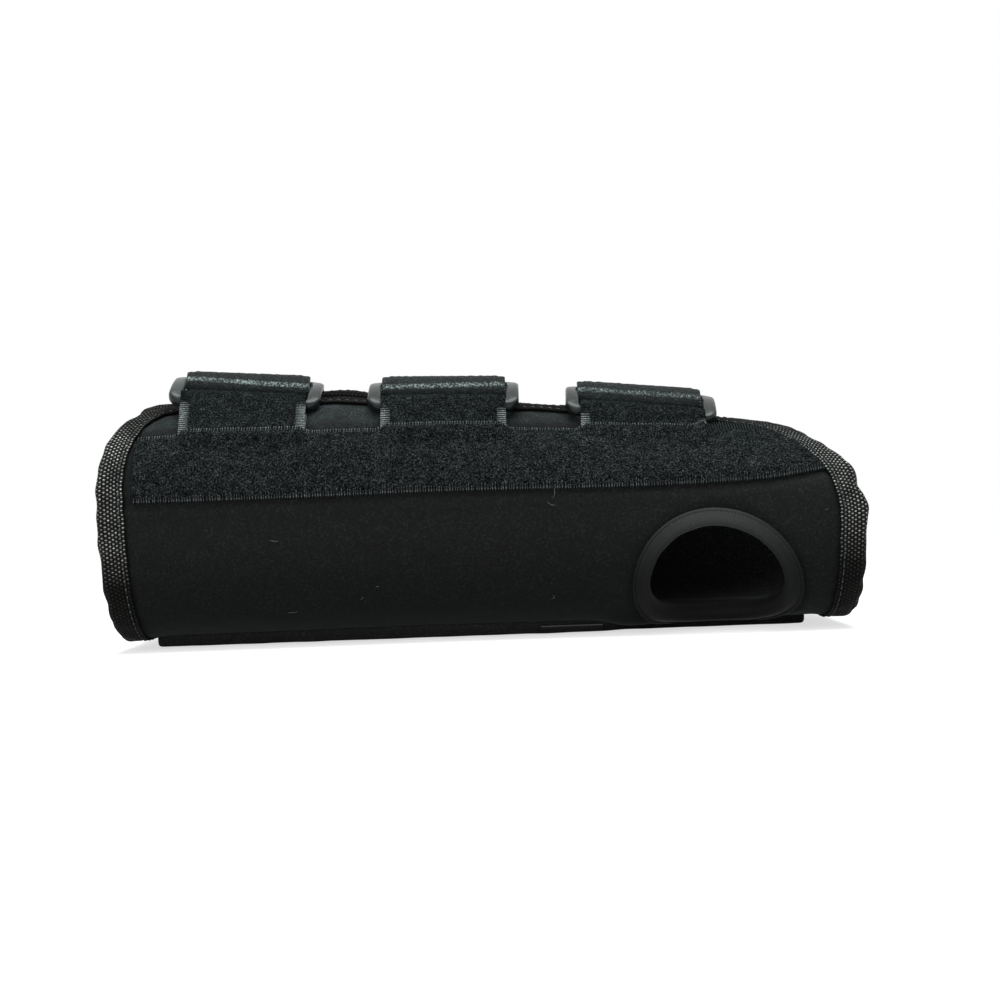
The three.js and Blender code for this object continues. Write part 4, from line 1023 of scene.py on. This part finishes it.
sewn = {}
for hand, (name, edge) in SIDES.items():
    path, run, tape = halves[hand]
    top = TAPE_SEAT + TAPE - STITCH_RADIUS
    rows = [tape_stitches(path, tape_width(path), -hand, lift) for lift in (top, -LAMINATE - top)]
    sewn[hand] = (stitches(f"binding_stitches_{name}_half", rows, THREAD),
                  stitches(f"ribbon_stitches_{name}_side", [comb(hand, -1), comb(hand, 1)], THREAD))
hole_rows = [tape_stitches(hole_path, THUMB_TAPE_WIDTH - 0.1, -1, TAPE_SEAT + TAPE - 0.62, True)]
hole_stitches = stitches("thumb_hole_stitches", hole_rows, SMOOTH_TAPE)
print("stitches round the thumb hole:", len(hole_rows[0]))

# %% [markdown]
# A few stray fibres lie on the cloth. Each is a thin bent tube, and each has its own place, length and direction.

# %% Stray fibres
# x, height, length, direction and bend, in millimetres and degrees
FIBRES = ((-61.9, 32.1, 2.8, -8, 15), (-58.0, 10.6, 3.2, 12, 10), (21.9, 43.2, 3.2, 80, 30), (20.7, 40.0, 2.4, -20, 20),
          (-36.7, 14.0, 1.6, 50, 90), (-32.0, 17.5, 1.0, 20, 30), (20.8, 12.2, 2.2, 70, 80), (101.8, 35.6, 0.9, 30, 20))


def fibre(x, z, length, turn, bend):
    """A tube along a shallow arc: x and girth change by the cosine and sine of an angle that grows with length."""
    t = np.linspace(-0.5, 0.5, 14)
    angle = math.radians(turn) + math.radians(bend) * t
    girth = girth_at_height(x, z) + length * t * np.sin(angle)
    points, normal = form_line(x + length * t * np.cos(angle), girth, FIBRE_LIFT + 0.15 * np.sin(5 * t))
    ahead = np.gradient(points, axis=0)
    side = unit(np.cross(ahead, normal))
    thick = FIBRE_RADIUS * np.sqrt(np.clip(1 - (2 * t) ** 4, 0.05, 1))
    return around(points, side, unit(np.cross(side, ahead)), thick, 4)


lint = many_tubes("stray_fibres", np.array([fibre(*place) for place in FIBRES]), None, LINT)
print("fibres:", len(FIBRES))

# %% [markdown]
# ## Rings
# Each ring is a moulded rectangle with round corners. A rounded section is carried round the rectangle and is wider
# on the short sides. Beveling a box would leave the corners of the window sharp, and a sweep keeps them soft. The
# rings lean a few degrees more than the solids do, and each has settled a little askew on the padding, as in use.

# %% Ring geometry
RING_BAR, RING_SIDE_BAR, RING_THICKNESS, RING_WINDOW, RING_CORNER = 2.8, 3.1, 2.4, 13.4, 3.6
RING_INNER_LENGTH = TAB_WIDTH + 1.2
BAR_SPACING = RING_WINDOW + RING_BAR
RING_Y, RING_LIFT, TILT = -16.8, 0.55, math.radians(23.5)
BAR_RADIUS = math.hypot(RING_BAR, RING_THICKNESS) / 2 - 0.7 * (math.sqrt(2) - 1)
SETTLED = {STRAP_X[0]: (-0.10, 0.4), STRAP_X[1]: (0.045, -0.8), STRAP_X[2]: (0.0, 0.0)}  # extra slope and lift
SECTION_SQUARENESS, OUTER_GROWTH, INNER_SHRINKAGE = 3.6, 0.9, 1.0


def rounded_rectangle(length, width, radius):
    """Points round a rectangle with quarter circles at its corners, and five more between each two."""
    points = []
    for quarter, (sx, sy) in enumerate(((1, 1), (-1, 1), (-1, -1), (1, -1))):
        angle = np.linspace(0, np.pi / 2, 14) + quarter * np.pi / 2
        corner = np.array([sx * (length / 2 - radius), sy * (width / 2 - radius)])
        points.append(corner + radius * spread(np.cos(angle), np.sin(angle)))
    loop = np.concatenate(points)
    t = np.linspace(0, 1, 6, endpoint=False)[:, None, None]
    return (loop + (np.roll(loop, -1, 0) - loop) * t).transpose(1, 0, 2).reshape(-1, 2)


def ring_place(x):
    """The ring's centre, and how fast its bars fall along X, from the top of the sleeve under it."""
    turn, lift = SETTLED[x]
    fall = (value_at("height", x + STRAP_WIDTH / 2) - value_at("height", x - STRAP_WIDTH / 2)) / STRAP_WIDTH
    return np.array([x, RING_Y, value_at("height", x) + RING_LIFT + lift]), fall + turn


def bar_at(centre, fall, side, x):
    """Centre (y, z) of a long bar, -1 near the thumb and 1 far from it, at any x."""
    across = side * BAR_SPACING / 2
    return RING_Y + across * math.cos(TILT) + 0 * x, centre[2] + across * math.sin(TILT) + fall * (x - centre[0])


def power_of(values, power):
    """The values' sizes to a power, with their signs kept."""
    return np.sign(values) * np.abs(values) ** power


def make_ring(number, x):
    """The section is a superellipse. The side bars are broader and taller than the long ones, and bowed along their
    length; the section's rims stand a little over the flat band between them."""
    centre, fall = ring_place(x)
    outer = rounded_rectangle(RING_INNER_LENGTH + 2 * RING_SIDE_BAR, RING_WINDOW + 2 * RING_BAR, RING_CORNER + 0.2)
    inner = rounded_rectangle(RING_INNER_LENGTH, RING_WINDOW, RING_CORNER - RING_BAR)
    outer[:, 0] *= 1 + OUTER_GROWTH / RING_INNER_LENGTH
    inner[:, 0] *= 1 - INNER_SHRINKAGE / RING_INNER_LENGTH
    c, s = (power_of(part[:, 0], 2 / SECTION_SQUARENESS) for part in circle(28))
    flat = ((outer + inner) / 2)[:, None] + ((outer - inner) / 2)[:, None] * c[:, None]
    side = smooth((np.abs(flat[..., 0]) - RING_INNER_LENGTH / 2 + 2.2) / 3.0)
    bow = 0.55 - 1.35 * (flat[..., 1] / 9.5) ** 2
    z = RING_THICKNESS / 2 * s * (0.92 + 0.16 * np.abs(c) ** 8)
    z = z + side * (np.where(s > 0, 0.35, -0.45) * np.abs(s) + bow)
    turn = Matrix.Rotation(-math.atan(fall), 3, "Y") @ Matrix.Rotation(TILT, 3, "X")
    points = np.concatenate([flat, z[..., None]], -1) @ np.array(turn).T + centre
    return tube(f"strap_ring_{number}", points, None, RING_PLASTIC, closed=True)


rings = [make_ring(k + 1, x) for k, x in enumerate(STRAP_X)]
print("ring centres in mm:", [np.round(ring_place(x)[0], 1).tolist() for x in STRAP_X])

# %% [markdown]
# ## Tabs and straps
# A tab is a length of pile ribbon doubled round the ring's near bar. A strap comes up from the far side, passes
# under the far bar, turns round it and lies back over itself. Both are sheets along a path of (y, z) points that
# is worked out at every x at once, then evened out and softened like real webbing.

# %% Paths round the bars
COLUMNS = 61
TAB_ROOT, TAB_UNDER_LIFT, TAB_OVER_LIFT = (-3.5, 0.8), (0.75, 0.10), (1.55, 0.75)  # girths from the ribbon's edge
TAB_RADIUS = BAR_RADIUS + CLOTH_GAP + TAB_THICKNESS / 2
STRAP_RADIUS = BAR_RADIUS + CLOTH_GAP + STRAP_THICKNESS / 2


def wrap_bar(bar, radius, coming, going, turn):
    """The arc round a bar between the tangents from two legs, as [x, step, (y, z)]."""

    def tangent(leg, side):
        dy, dz = bar[0] - leg[0], bar[1] - leg[1]
        return np.arctan2(dz, dy) + side * (np.pi / 2 + np.arcsin(np.clip(radius / np.hypot(dy, dz), -1, 1)))

    first, last = tangent(coming, -turn), tangent(going, turn)
    sweep = ((last - first) * turn) % (2 * np.pi)
    angle = first[:, None] + turn * sweep[:, None] * np.linspace(0, 1, 16)
    return spread(bar[0][:, None] + radius * np.cos(angle), bar[1][:, None] + radius * np.sin(angle))


def even_path(legs, step, soften):
    """Rows at equal distances along the middle column's path, softened by averaging neighbours."""
    path = np.concatenate(legs, 1)
    run = run_along(path[path.shape[0] // 2])
    at = np.linspace(0, run[-1], int(run[-1] / step) + 1)
    k = np.clip(np.searchsorted(run, at, side="right") - 1, 0, len(run) - 2)
    t = ((at - run[k]) / np.maximum(run[k + 1] - run[k], 1e-9))[None, :, None]
    even = path[:, k] * (1 - t) + path[:, k + 1] * t
    for _ in range(soften):
        even[:, 1:-1] = (even[:, :-2] + 2 * even[:, 1:-1] + even[:, 2:]) / 4
    return even, at


def columns_of(x, width):
    return x + np.linspace(-1, 1, COLUMNS) * width / 2


lengths = {}


def webbing(name, x_centre, width, thickness, path, at, material, seed, selvedge=2.2, broader=0.0, ahead_of=0.0):
    """A sheet of webbing along a path: its thickness falls at the selvedges and its surface is a little uneven."""
    across, s = (columns_of(x_centre, width) - x_centre)[:, None], at[None, :]
    ahead = unit(np.gradient(path, axis=1))
    normal = spread(-ahead[..., 1], ahead[..., 0])
    to_side = width / 2 - np.abs(across)
    edge, pile = rounded(to_side, 0.5), smooth((to_side - selvedge * 0.75) / 0.8)
    half = thickness / 2 * (0.30 + 0.30 * edge + 0.40 * pile * edge)
    rough = 0.10 * waves(across, s, 2.0, seed, 14) * pile
    top = path + normal * (half + rough)[..., None]
    low = path - normal * (half - 0.3 * rough)[..., None]
    lengths[name] = float(at[-1])
    full = (x_centre + across * (1 + broader * smooth((22 - s) / 10)))[..., None]
    sheet = (np.concatenate([full, face], -1) for face in (top, low))
    return thick_sheet(name, *sheet, spread(s + ahead_of, across), [material])


def make_tab(number, x):
    """Root under the ribbon, up, round the near bar and back down over itself to the ribbon again."""
    centre, fall = ring_place(x)
    xs = columns_of(x, TAB_WIDTH)
    top = ribbon_top(xs)
    (low, rise), (high, further) = TAB_UNDER_LIFT, TAB_OVER_LIFT
    root = np.linspace(*TAB_ROOT, 8)
    inner = np.stack([yz_on_form(xs, top + d, low + rise * k / 7) for k, d in enumerate(root)], 1)
    outer = np.stack([yz_on_form(xs, top + d, high + further * smooth((d + 2.5) / 3.2)) for d in root[::-1]], 1)
    arc = wrap_bar(bar_at(centre, fall, -1, xs), TAB_RADIUS, inner[:, -1].T, outer[:, 0].T, 1)
    path, at = even_path([inner, arc, outer], 0.5, 6)
    return webbing(f"ring_tab_ribbon_{number}", x, TAB_WIDTH, TAB_THICKNESS, path, at, TAB_PILE, 90 + number, 3.0,
                   ahead_of=-at[-1] / 2)


def tab_ends(x):
    """Where a tab leaves the ribbon and the middle of the bar that it holds, as (y, z)."""
    centre, fall = ring_place(x)
    bar = np.array([float(value) for value in bar_at(centre, fall, -1, x)])
    return yz_on_form(np.array([x]), ribbon_top(np.array([x])), 1.5)[0], bar


# %% [markdown]
# The girths of a strap count from the edge of the far flap: it leaves the flap for the ring, comes back to land a
# little further on, and ends at its tip. The turn is slack, so it hangs into the ring's window, towards the tab.

# %% The straps and their hooks
STRAP_LOW = CLOTH_GAP + STRAP_THICKNESS / 2
STRAP_HIGH = TAPE_SEAT + TAPE + 2 * CLOTH_GAP + STRAP_THICKNESS / 2
HOOK_LIFT = CLOTH_GAP + RIBBON_THICKNESS + CLOTH_GAP + HOOK_HALF
TAIL_LIFT = max(STRAP_HIGH + STRAP_THICKNESS + CLOTH_GAP, HOOK_LIFT + HOOK_HALF + CLOTH_GAP + STRAP_THICKNESS / 2)
ROOT_TUCK, LEAVING, LANDING, TIP = 3.0, 11, 17, 66
TURN_DROP = 0.3, 0.45  # how far the turn's middle lies from the bar's, in y and z
SLACK, SLACK_RADIUS, SLACK_TURN = 3.0, STRAP_RADIUS + 0.5, TILT + 0.25
LOOP_START, ROOT_END = 1.5, 1.8  # how far before the ring's bar the strap is parted
LOOP_LENGTH = 90.0  # the root's pattern goes on where the loop's ends


def towards(start, end, distance):
    return (start + unit(end - start) * distance)[:, None]


def hook_patch(number, x):
    """Cloth of hooks under the strap's tip, narrower than the strap by a margin all round."""
    across = np.linspace(-1, 1, 41) * (STRAP_WIDTH / 2 - HOOK_MARGIN)
    xs, along = (x + across)[:, None], HOOK_LENGTH * np.linspace(0, 1, 30)
    girth = ulnar_edge(xs) + TIP - HOOK_MARGIN - HOOK_LENGTH + along
    faces = (on_form(xs, girth, lift) for lift in (HOOK_LIFT + HOOK_HALF, HOOK_LIFT - HOOK_HALF))
    return thick_sheet(f"hook_patch_cloth_{number}", *faces, spread(along, across[:, None]), [HOOK_PLASTIC])


def make_strap(number, x):
    """The lower run ends just short of the ring; the turn and the tail are one piece."""
    centre, fall = ring_place(x)
    xs = columns_of(x, STRAP_WIDTH)
    edge, root = ulnar_edge(xs), ROOT_TUCK - ribbon_top(xs)
    lower = np.stack([yz_on_form(xs, root + (edge + LEAVING - root) * k, STRAP_LOW + (STRAP_HIGH - STRAP_LOW) * k)
                      for k in np.linspace(0, 1, 24)], 1)
    tail = np.stack([yz_on_form(xs, edge + girth, TAIL_LIFT) for girth in np.linspace(LANDING, TIP, 50)], 1)
    bar_y, bar_z = bar_at(centre, fall, 1, xs)
    middle = spread(bar_y - TURN_DROP[0], bar_z - TURN_DROP[1])
    arc = wrap_bar(middle.T, SLACK_RADIUS, lower[:, -1].T, tail[:, 0].T, -1)
    hang = -np.array([math.cos(SLACK_TURN), math.sin(SLACK_TURN)])
    share = np.clip(((arc - middle[:, None]) * hang).sum(-1) / SLACK_RADIUS, 0, 1)
    arc = arc + SLACK * (share**1.5)[..., None] * hang
    low = even_path([lower, towards(arc[:, 0], lower[:, -1], ROOT_END)], 0.7, 4)
    high = even_path([towards(arc[:, 0], lower[:, -1], LOOP_START), arc, tail], 0.5, 5)
    size = x, STRAP_WIDTH, STRAP_THICKNESS
    return (webbing(f"strap_{number}_root", *size, *low, STRAP_CLOTH, 100 + number, ahead_of=LOOP_LENGTH),
            webbing(f"strap_{number}_loop", *size, *high, STRAP_CLOTH, 110 + number, broader=0.05),
            hook_patch(number, x))


tabs = [make_tab(k + 1, x) for k, x in enumerate(STRAP_X)]
straps = [make_strap(k + 1, x) for k, x in enumerate(STRAP_X)]
print("webbing lengths in mm:", {name: round(length) for name, length in lengths.items()})

# %% [markdown]
# ## Palm pocket, stay and label
# A pocket of brushed cloth is sewn under the palm. It is a tray in section, open at the elbow end, and the metal
# stay lies in it. The profile is a closed loop whose inner part sinks to nothing at the sewn end.

# %% Pocket
POCKET_FIRST, POCKET_LAST, POCKET_STEP = -LENGTH / 2 + 12.5, LENGTH / 2 - 15, LENGTH / 2 - 78.4
POCKET_THUMB_Y, POCKET_FINGER_Y, POCKET_NARROWING, POCKET_SPREAD = -17.0, 18.0, 5.0, 2.8
POCKET_TOP = SLEEVE_FLOOR - CLOTH_GAP
POCKET_FLOOR, WALL_FOOT, POCKET_ROUNDING = 0.8, 0.9, 1.2
STAY_Y, STAY_HALF, STAY_PLAY, STAY_MARGIN = 3.0, 10.0, 0.2, 4.0
STAY_LAYERS = ((1.0, 0.2), (1.06, 0.06), (1.2, 0), (2.0, 0), (2.14, 0.06), (2.2, 0.2))  # height, and rim drawn in
LABEL_LENGTH, LABEL_LOW, LABEL_HIGH, LABEL_SPREAD, LABEL_FRONT, LABEL_BACK = 19.0, 0.55, 2.75, 2.6, 0.75, 0.35


def wall_spread(z):
    """Share of the way from the pocket's wall out to its sewn edge: 0 below z = 0.9 mm, 1 at the sleeve."""
    return np.clip((z - WALL_FOOT) / (POCKET_TOP - WALL_FOOT), 0, 1) ** 1.6


def make_pocket():
    """Profile points (y, z): outside from the thumb edge under to the other edge, then the tray's inside back."""
    tip = np.array([0, 0.2, 0.5, 0.9])
    body = np.linspace(POCKET_FIRST + 1.5, POCKET_LAST - 1.5, 260)
    x = np.concatenate([POCKET_FIRST + tip, body, POCKET_LAST - tip[::-1]])
    end = np.minimum(x - POCKET_FIRST, POCKET_LAST - x)
    shrink = 0.8 * (1 - rounded(end, POCKET_ROUNDING))
    step = POCKET_NARROWING * smooth((x - POCKET_STEP) / 8)
    low_y = POCKET_THUMB_Y + step + shrink + 0.15 * waves(x, 0 * x, 11, 7)
    high_y = POCKET_FINGER_Y - shrink - 0.15 * waves(x, 0 * x, 13, 8)
    # The outside is half a superellipse: y across by the cosine, z down by the sine, both flattened.
    k = np.linspace(0, 1, 25)
    side, down = power_of(np.cos(k * np.pi), 0.16), np.sin(k * np.pi) ** 0.30
    y = (low_y + high_y)[:, None] / 2 - (high_y - low_y)[:, None] / 2 * side
    z = POCKET_TOP - (POCKET_TOP - shrink[:, None]) * down + 0.10 * waves(x[:, None], y, 15, 9) * (down < 0.98)
    z = z + 0.45 * np.abs(waves(x[:, None], y, 5.5, 19)) * (k < 0.2)
    # Its upper edges spread on the sleeve's skin, where they are sewn down.
    share = wall_spread(z) * np.minimum(end / 4, 1)[:, None]
    for hand, wall_y in ((1, low_y), (-1, high_y)):
        skin = on_form(x, hand * (np.abs(wall_y) + POCKET_SPREAD), 0.15)
        own = share * (hand * side > 0.5)
        y, z = y + (skin[:, 1:2] - y) * own, z + (skin[:, 2:] - z) * own
    depth = (POCKET_TOP - POCKET_FLOOR) * (1 - smooth((x - (POCKET_LAST - 5)) / 2)) + 0.03
    reach = STAY_HALF + STAY_PLAY
    tray_y = STAY_Y + np.array([reach, reach, reach - 0.2, 0, 0.2 - reach, -reach, -reach])
    tray_z = POCKET_TOP - depth[:, None] * np.array([0, 0.85, 1, 1, 1, 0.85, 0])
    y = np.concatenate([y, np.broadcast_to(tray_y, tray_z.shape)], 1)
    points = spread(x[:, None], y, np.concatenate([z, tray_z], 1))
    return tube("palm_pocket", points, points[..., :2], POCKET_CLOTH)


def make_stay():
    """A strip with half-round ends: its rim is drawn in by a small rounding on both faces."""
    first, last = POCKET_FIRST + STAY_MARGIN + STAY_HALF, POCKET_LAST - STAY_MARGIN - STAY_HALF
    angle = np.linspace(-np.pi / 2, np.pi / 2, 40)
    outward = np.concatenate([spread(np.cos(angle), np.sin(angle)), -spread(np.cos(angle), np.sin(angle))])
    middle = spread(np.where(np.arange(80) < 40, last, first), STAY_Y)
    layers = [spread(*(middle + outward * (STAY_HALF - draw)).T, z) for z, draw in STAY_LAYERS]
    return tube("palm_stay", np.stack(layers), None, STAY_METAL)


def make_label():
    """A folded satin strip that hangs on the pocket's edge and bows out in the middle, with a thread near its top."""
    x = np.linspace(POCKET_STEP - LABEL_LENGTH, POCKET_STEP, 60)[:, None]
    z = np.linspace(LABEL_LOW, LABEL_HIGH, 12)[None, :]
    bow = 0.10 * np.sin(np.pi * (POCKET_STEP - x) / LABEL_LENGTH) + 0.04 * waves(x, z, 6, 12)
    wall = POCKET_THUMB_Y - LABEL_SPREAD * wall_spread(z) - bow
    front, behind = spread(x, wall - LABEL_FRONT, z), spread(x, wall - LABEL_BACK, z)
    _, across, up = np.eye(3)
    edge = tube("label_edge_thread", around(front[:, 10] - 0.05 * across, across, up, 0.2, 6), None, LINT)
    return thick_sheet("satin_label", front, behind, spread(x, z), [SATIN]), edge


pocket, stay = make_pocket(), make_stay()
label, label_edge = make_label()
print("stay faces:", len(stay.data.polygons))

# %% [markdown]
# ## Joining the pieces to the bodies
# The little-finger half rides on the sleeve, and so do the pocket, the label and the straps' roots; the rings, the
# stay and the hook patches go on their own bodies. The thumb half, everything sewn on it, the tabs and the straps'
# loops keep their places. Each piece hides the CAD parts that it stands for.


def stands_for(piece, *nodes, slot):
    if nodes:
        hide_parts(*nodes)


def sewn_on_flap(piece, *nodes, slot):
    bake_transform(piece)
    stands_for(piece, *nodes, slot=slot)


def fixed(piece, body, *nodes, slot):
    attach(piece, body)
    stands_for(piece, *nodes, slot=slot)


sewn_on_flap(thumb_half, "radial_flap_panel", slot="loop_cloth")
fixed(finger_half, "sleeve", "sleeve_panel", slot="loop_cloth")
sewn_on_flap(halves[1][2], "proximal_flap_binding", "distal_flap_binding", "radial_edge_binding", slot="woven_tape")
fixed(halves[-1][2], "sleeve", "proximal_binding", "distal_binding", "ulnar_edge_binding", slot="woven_tape")
sewn_on_flap(hole_tape, "thumb_hole_binding", slot="smooth_tape")
sewn_on_flap(hole_stitches, slot="smooth_tape")
sewn_on_flap(lint, slot="loop_cloth")
sewn_on_flap(thumb_ribbon, "radial_pile_ribbon", slot="pile")
fixed(finger_ribbon, "sleeve", "ulnar_pile_ribbon", slot="pile")
for k, slot in enumerate(("woven_tape", "pile")):
    sewn_on_flap(sewn[1][k], slot=slot)
    fixed(sewn[-1][k], "sleeve", slot=slot)
fixed(pocket, "sleeve", "palmar_stay_pocket", slot="loop_cloth")
fixed(stay, "stay", "palmar_stay", slot="stay_metal")
fixed(label, "sleeve", "blank_label", slot="satin")
fixed(label_edge, "sleeve", slot="satin")
for k in range(3):
    number = k + 1
    fixed(rings[k], f"ring_{number}", f"ring_{number}", slot="ring_plastic")
    root, bar = tab_ends(STRAP_X[k])
    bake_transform(tabs[k])
    stands_for(tabs[k], f"ring_tab_{number}", slot="pile")
    low, high, patch = straps[k]
    fixed(low, "sleeve", f"strap_{number}", slot="strap_cloth")
    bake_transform(high)
    stands_for(high, f"strap_turn_{number}", f"strap_tail_{number}", slot="strap_cloth")
    fixed(patch, f"tail_{number}", f"hook_patch_{number}", slot="hook_plastic")

# %% [markdown]
# A tape is cut straight and as wide as its two legs and its fold together. A tab is cut twice as long as it
# looks.

def cut_size(piece, width, length):
    print(f"{piece.name}: {width:.1f} by {length:.1f} mm")


for hand, half, ribbon_piece in ((1, thumb_half, thumb_ribbon), (-1, finger_half, finger_ribbon)):
    path, run, tape = halves[hand]
    cut_size(tape, float(np.mean(2 * tape_width(path) + LAMINATE)), float(run[-1]))
    cut_size(ribbon_piece, RIBBON_WIDTH, LENGTH - RIBBON_START - RIBBON_INSET)
cut_size(hole_tape, 2 * THUMB_TAPE_WIDTH + LAMINATE, 2 * math.pi * (THUMB_RADIUS - THUMB_TAPE_WIDTH / 2))
for tab, ring, (low, high, patch) in zip(tabs, rings, straps):
    cut_size(tab, TAB_WIDTH, lengths[tab.name])
    cut_size(low, STRAP_WIDTH, lengths[low.name])
    cut_size(high, STRAP_WIDTH, lengths[high.name])
    cut_size(patch, STRAP_WIDTH - 2 * HOOK_MARGIN, HOOK_LENGTH)

# %% [markdown]
# ## Studio
# The real picture is taken in a white light tent: a broad light above, a weaker one in front, and white all round.
# The floor and the sky are white to the camera and to reflections only, so they put no more light on the cloth.

# %% Floor and world
FLOOR_RADIUS, FLOOR_Z, FLOOR_GREY, FLOOR_GLOW, SKY_LIGHT = 0.95, -0.0004, 0.55, 0.66, 0.35
SOFTBOX, TARGET = 0.8, (0, 0, 0.04)


def seen_directly(nodes):
    """1 for what the camera sees, straight or in a reflection, and 0 for what lights the scene."""
    rays = [nodes.value("LightPath", f"Is {kind} Ray") for kind in ("Camera", "Glossy", "Transmission")]
    return rays[0].do("MAXIMUM", rays[1].do("MAXIMUM", rays[2]))


def link_object(name, data):
    thing = bpy.data.objects.new(name, data)
    bpy.context.scene.collection.objects.link(thing)
    return thing


def white_surroundings():
    world = bpy.data.worlds.new("tent")
    bpy.context.scene.world = world
    world.use_nodes = True
    nodes, background = Nodes(world.node_tree), world.node_tree.nodes["Background"]
    background.inputs["Color"].default_value = (1, 1, 1, 1)
    nodes.put(background.inputs["Strength"], seen_directly(nodes) * (1 - SKY_LIGHT) + SKY_LIGHT)


def pale_floor():
    cosine, sine = circle(64)
    ring = spread(FLOOR_RADIUS * cosine[:, 0], FLOOR_RADIUS * sine[:, 0], FLOOR_Z)
    mesh = bpy.data.meshes.new("floor")
    mesh.from_pydata(ring.tolist(), [], [list(range(len(ring)))])
    material, nodes, shader = begin("pale_floor", 1.0, specular=0.0)
    shader.inputs["Base Color"].default_value = (FLOOR_GREY, FLOOR_GREY, FLOOR_GREY, 1)
    shader.inputs["Emission Color"].default_value = (1, 1, 1, 1)
    mesh.materials.append(finish(material, nodes, shader, Emission_Strength=seen_directly(nodes) * FLOOR_GLOW))
    link_object("floor", mesh)


def lamp(name, place, power, colour=(1, 1, 1)):
    """A square soft box that faces the splint."""
    light = bpy.data.lights.new(name, "AREA")
    light.shape, light.size, light.energy, light.color = "SQUARE", SOFTBOX, power, colour
    back = unit(np.array(place, float) - np.array(TARGET, float))
    right = unit(np.cross((0, 0, 1) if abs(back[2]) < 0.95 else (0, 1, 0), back))
    turn = np.eye(4)
    turn[:3, 0], turn[:3, 1], turn[:3, 2], turn[:3, 3] = right, np.cross(back, right), back, place
    link_object(name, light).matrix_world = Matrix(turn.tolist())


white_surroundings()
pale_floor()
lamp("top_softbox", (0.05, -0.10, 0.9), power=12.0, colour=(0.90, 1.0, 1.0))
lamp("front_softbox", (-0.5, -1.1, 0.55), power=5.0)

# %% [markdown]
# ## Camera
# The picture looks square on at the thumb side from about 0.6 m, level with the middle of the splint, and it is
# turned by two degrees. The camera's axes are written out, which is plainer than angles for such a view.

# %% Camera
camera_data = bpy.data.cameras.new("camera")
camera_data.sensor_width, camera_data.lens, camera_data.clip_start = 36.0, 67.9, 0.01
camera = link_object("camera", camera_data)
roll, (x, y, z) = math.radians(2.06), (0.0056, -0.6, 0.0419)
c, s = math.cos(roll), math.sin(roll)
camera.matrix_world = Matrix(((c, s, 0, x), (0, 0, -1, y), (-s, c, 0, z), (0, 0, 0, 1)))
bpy.context.scene.camera = camera
bpy.context.scene.view_settings.view_transform = "Standard"
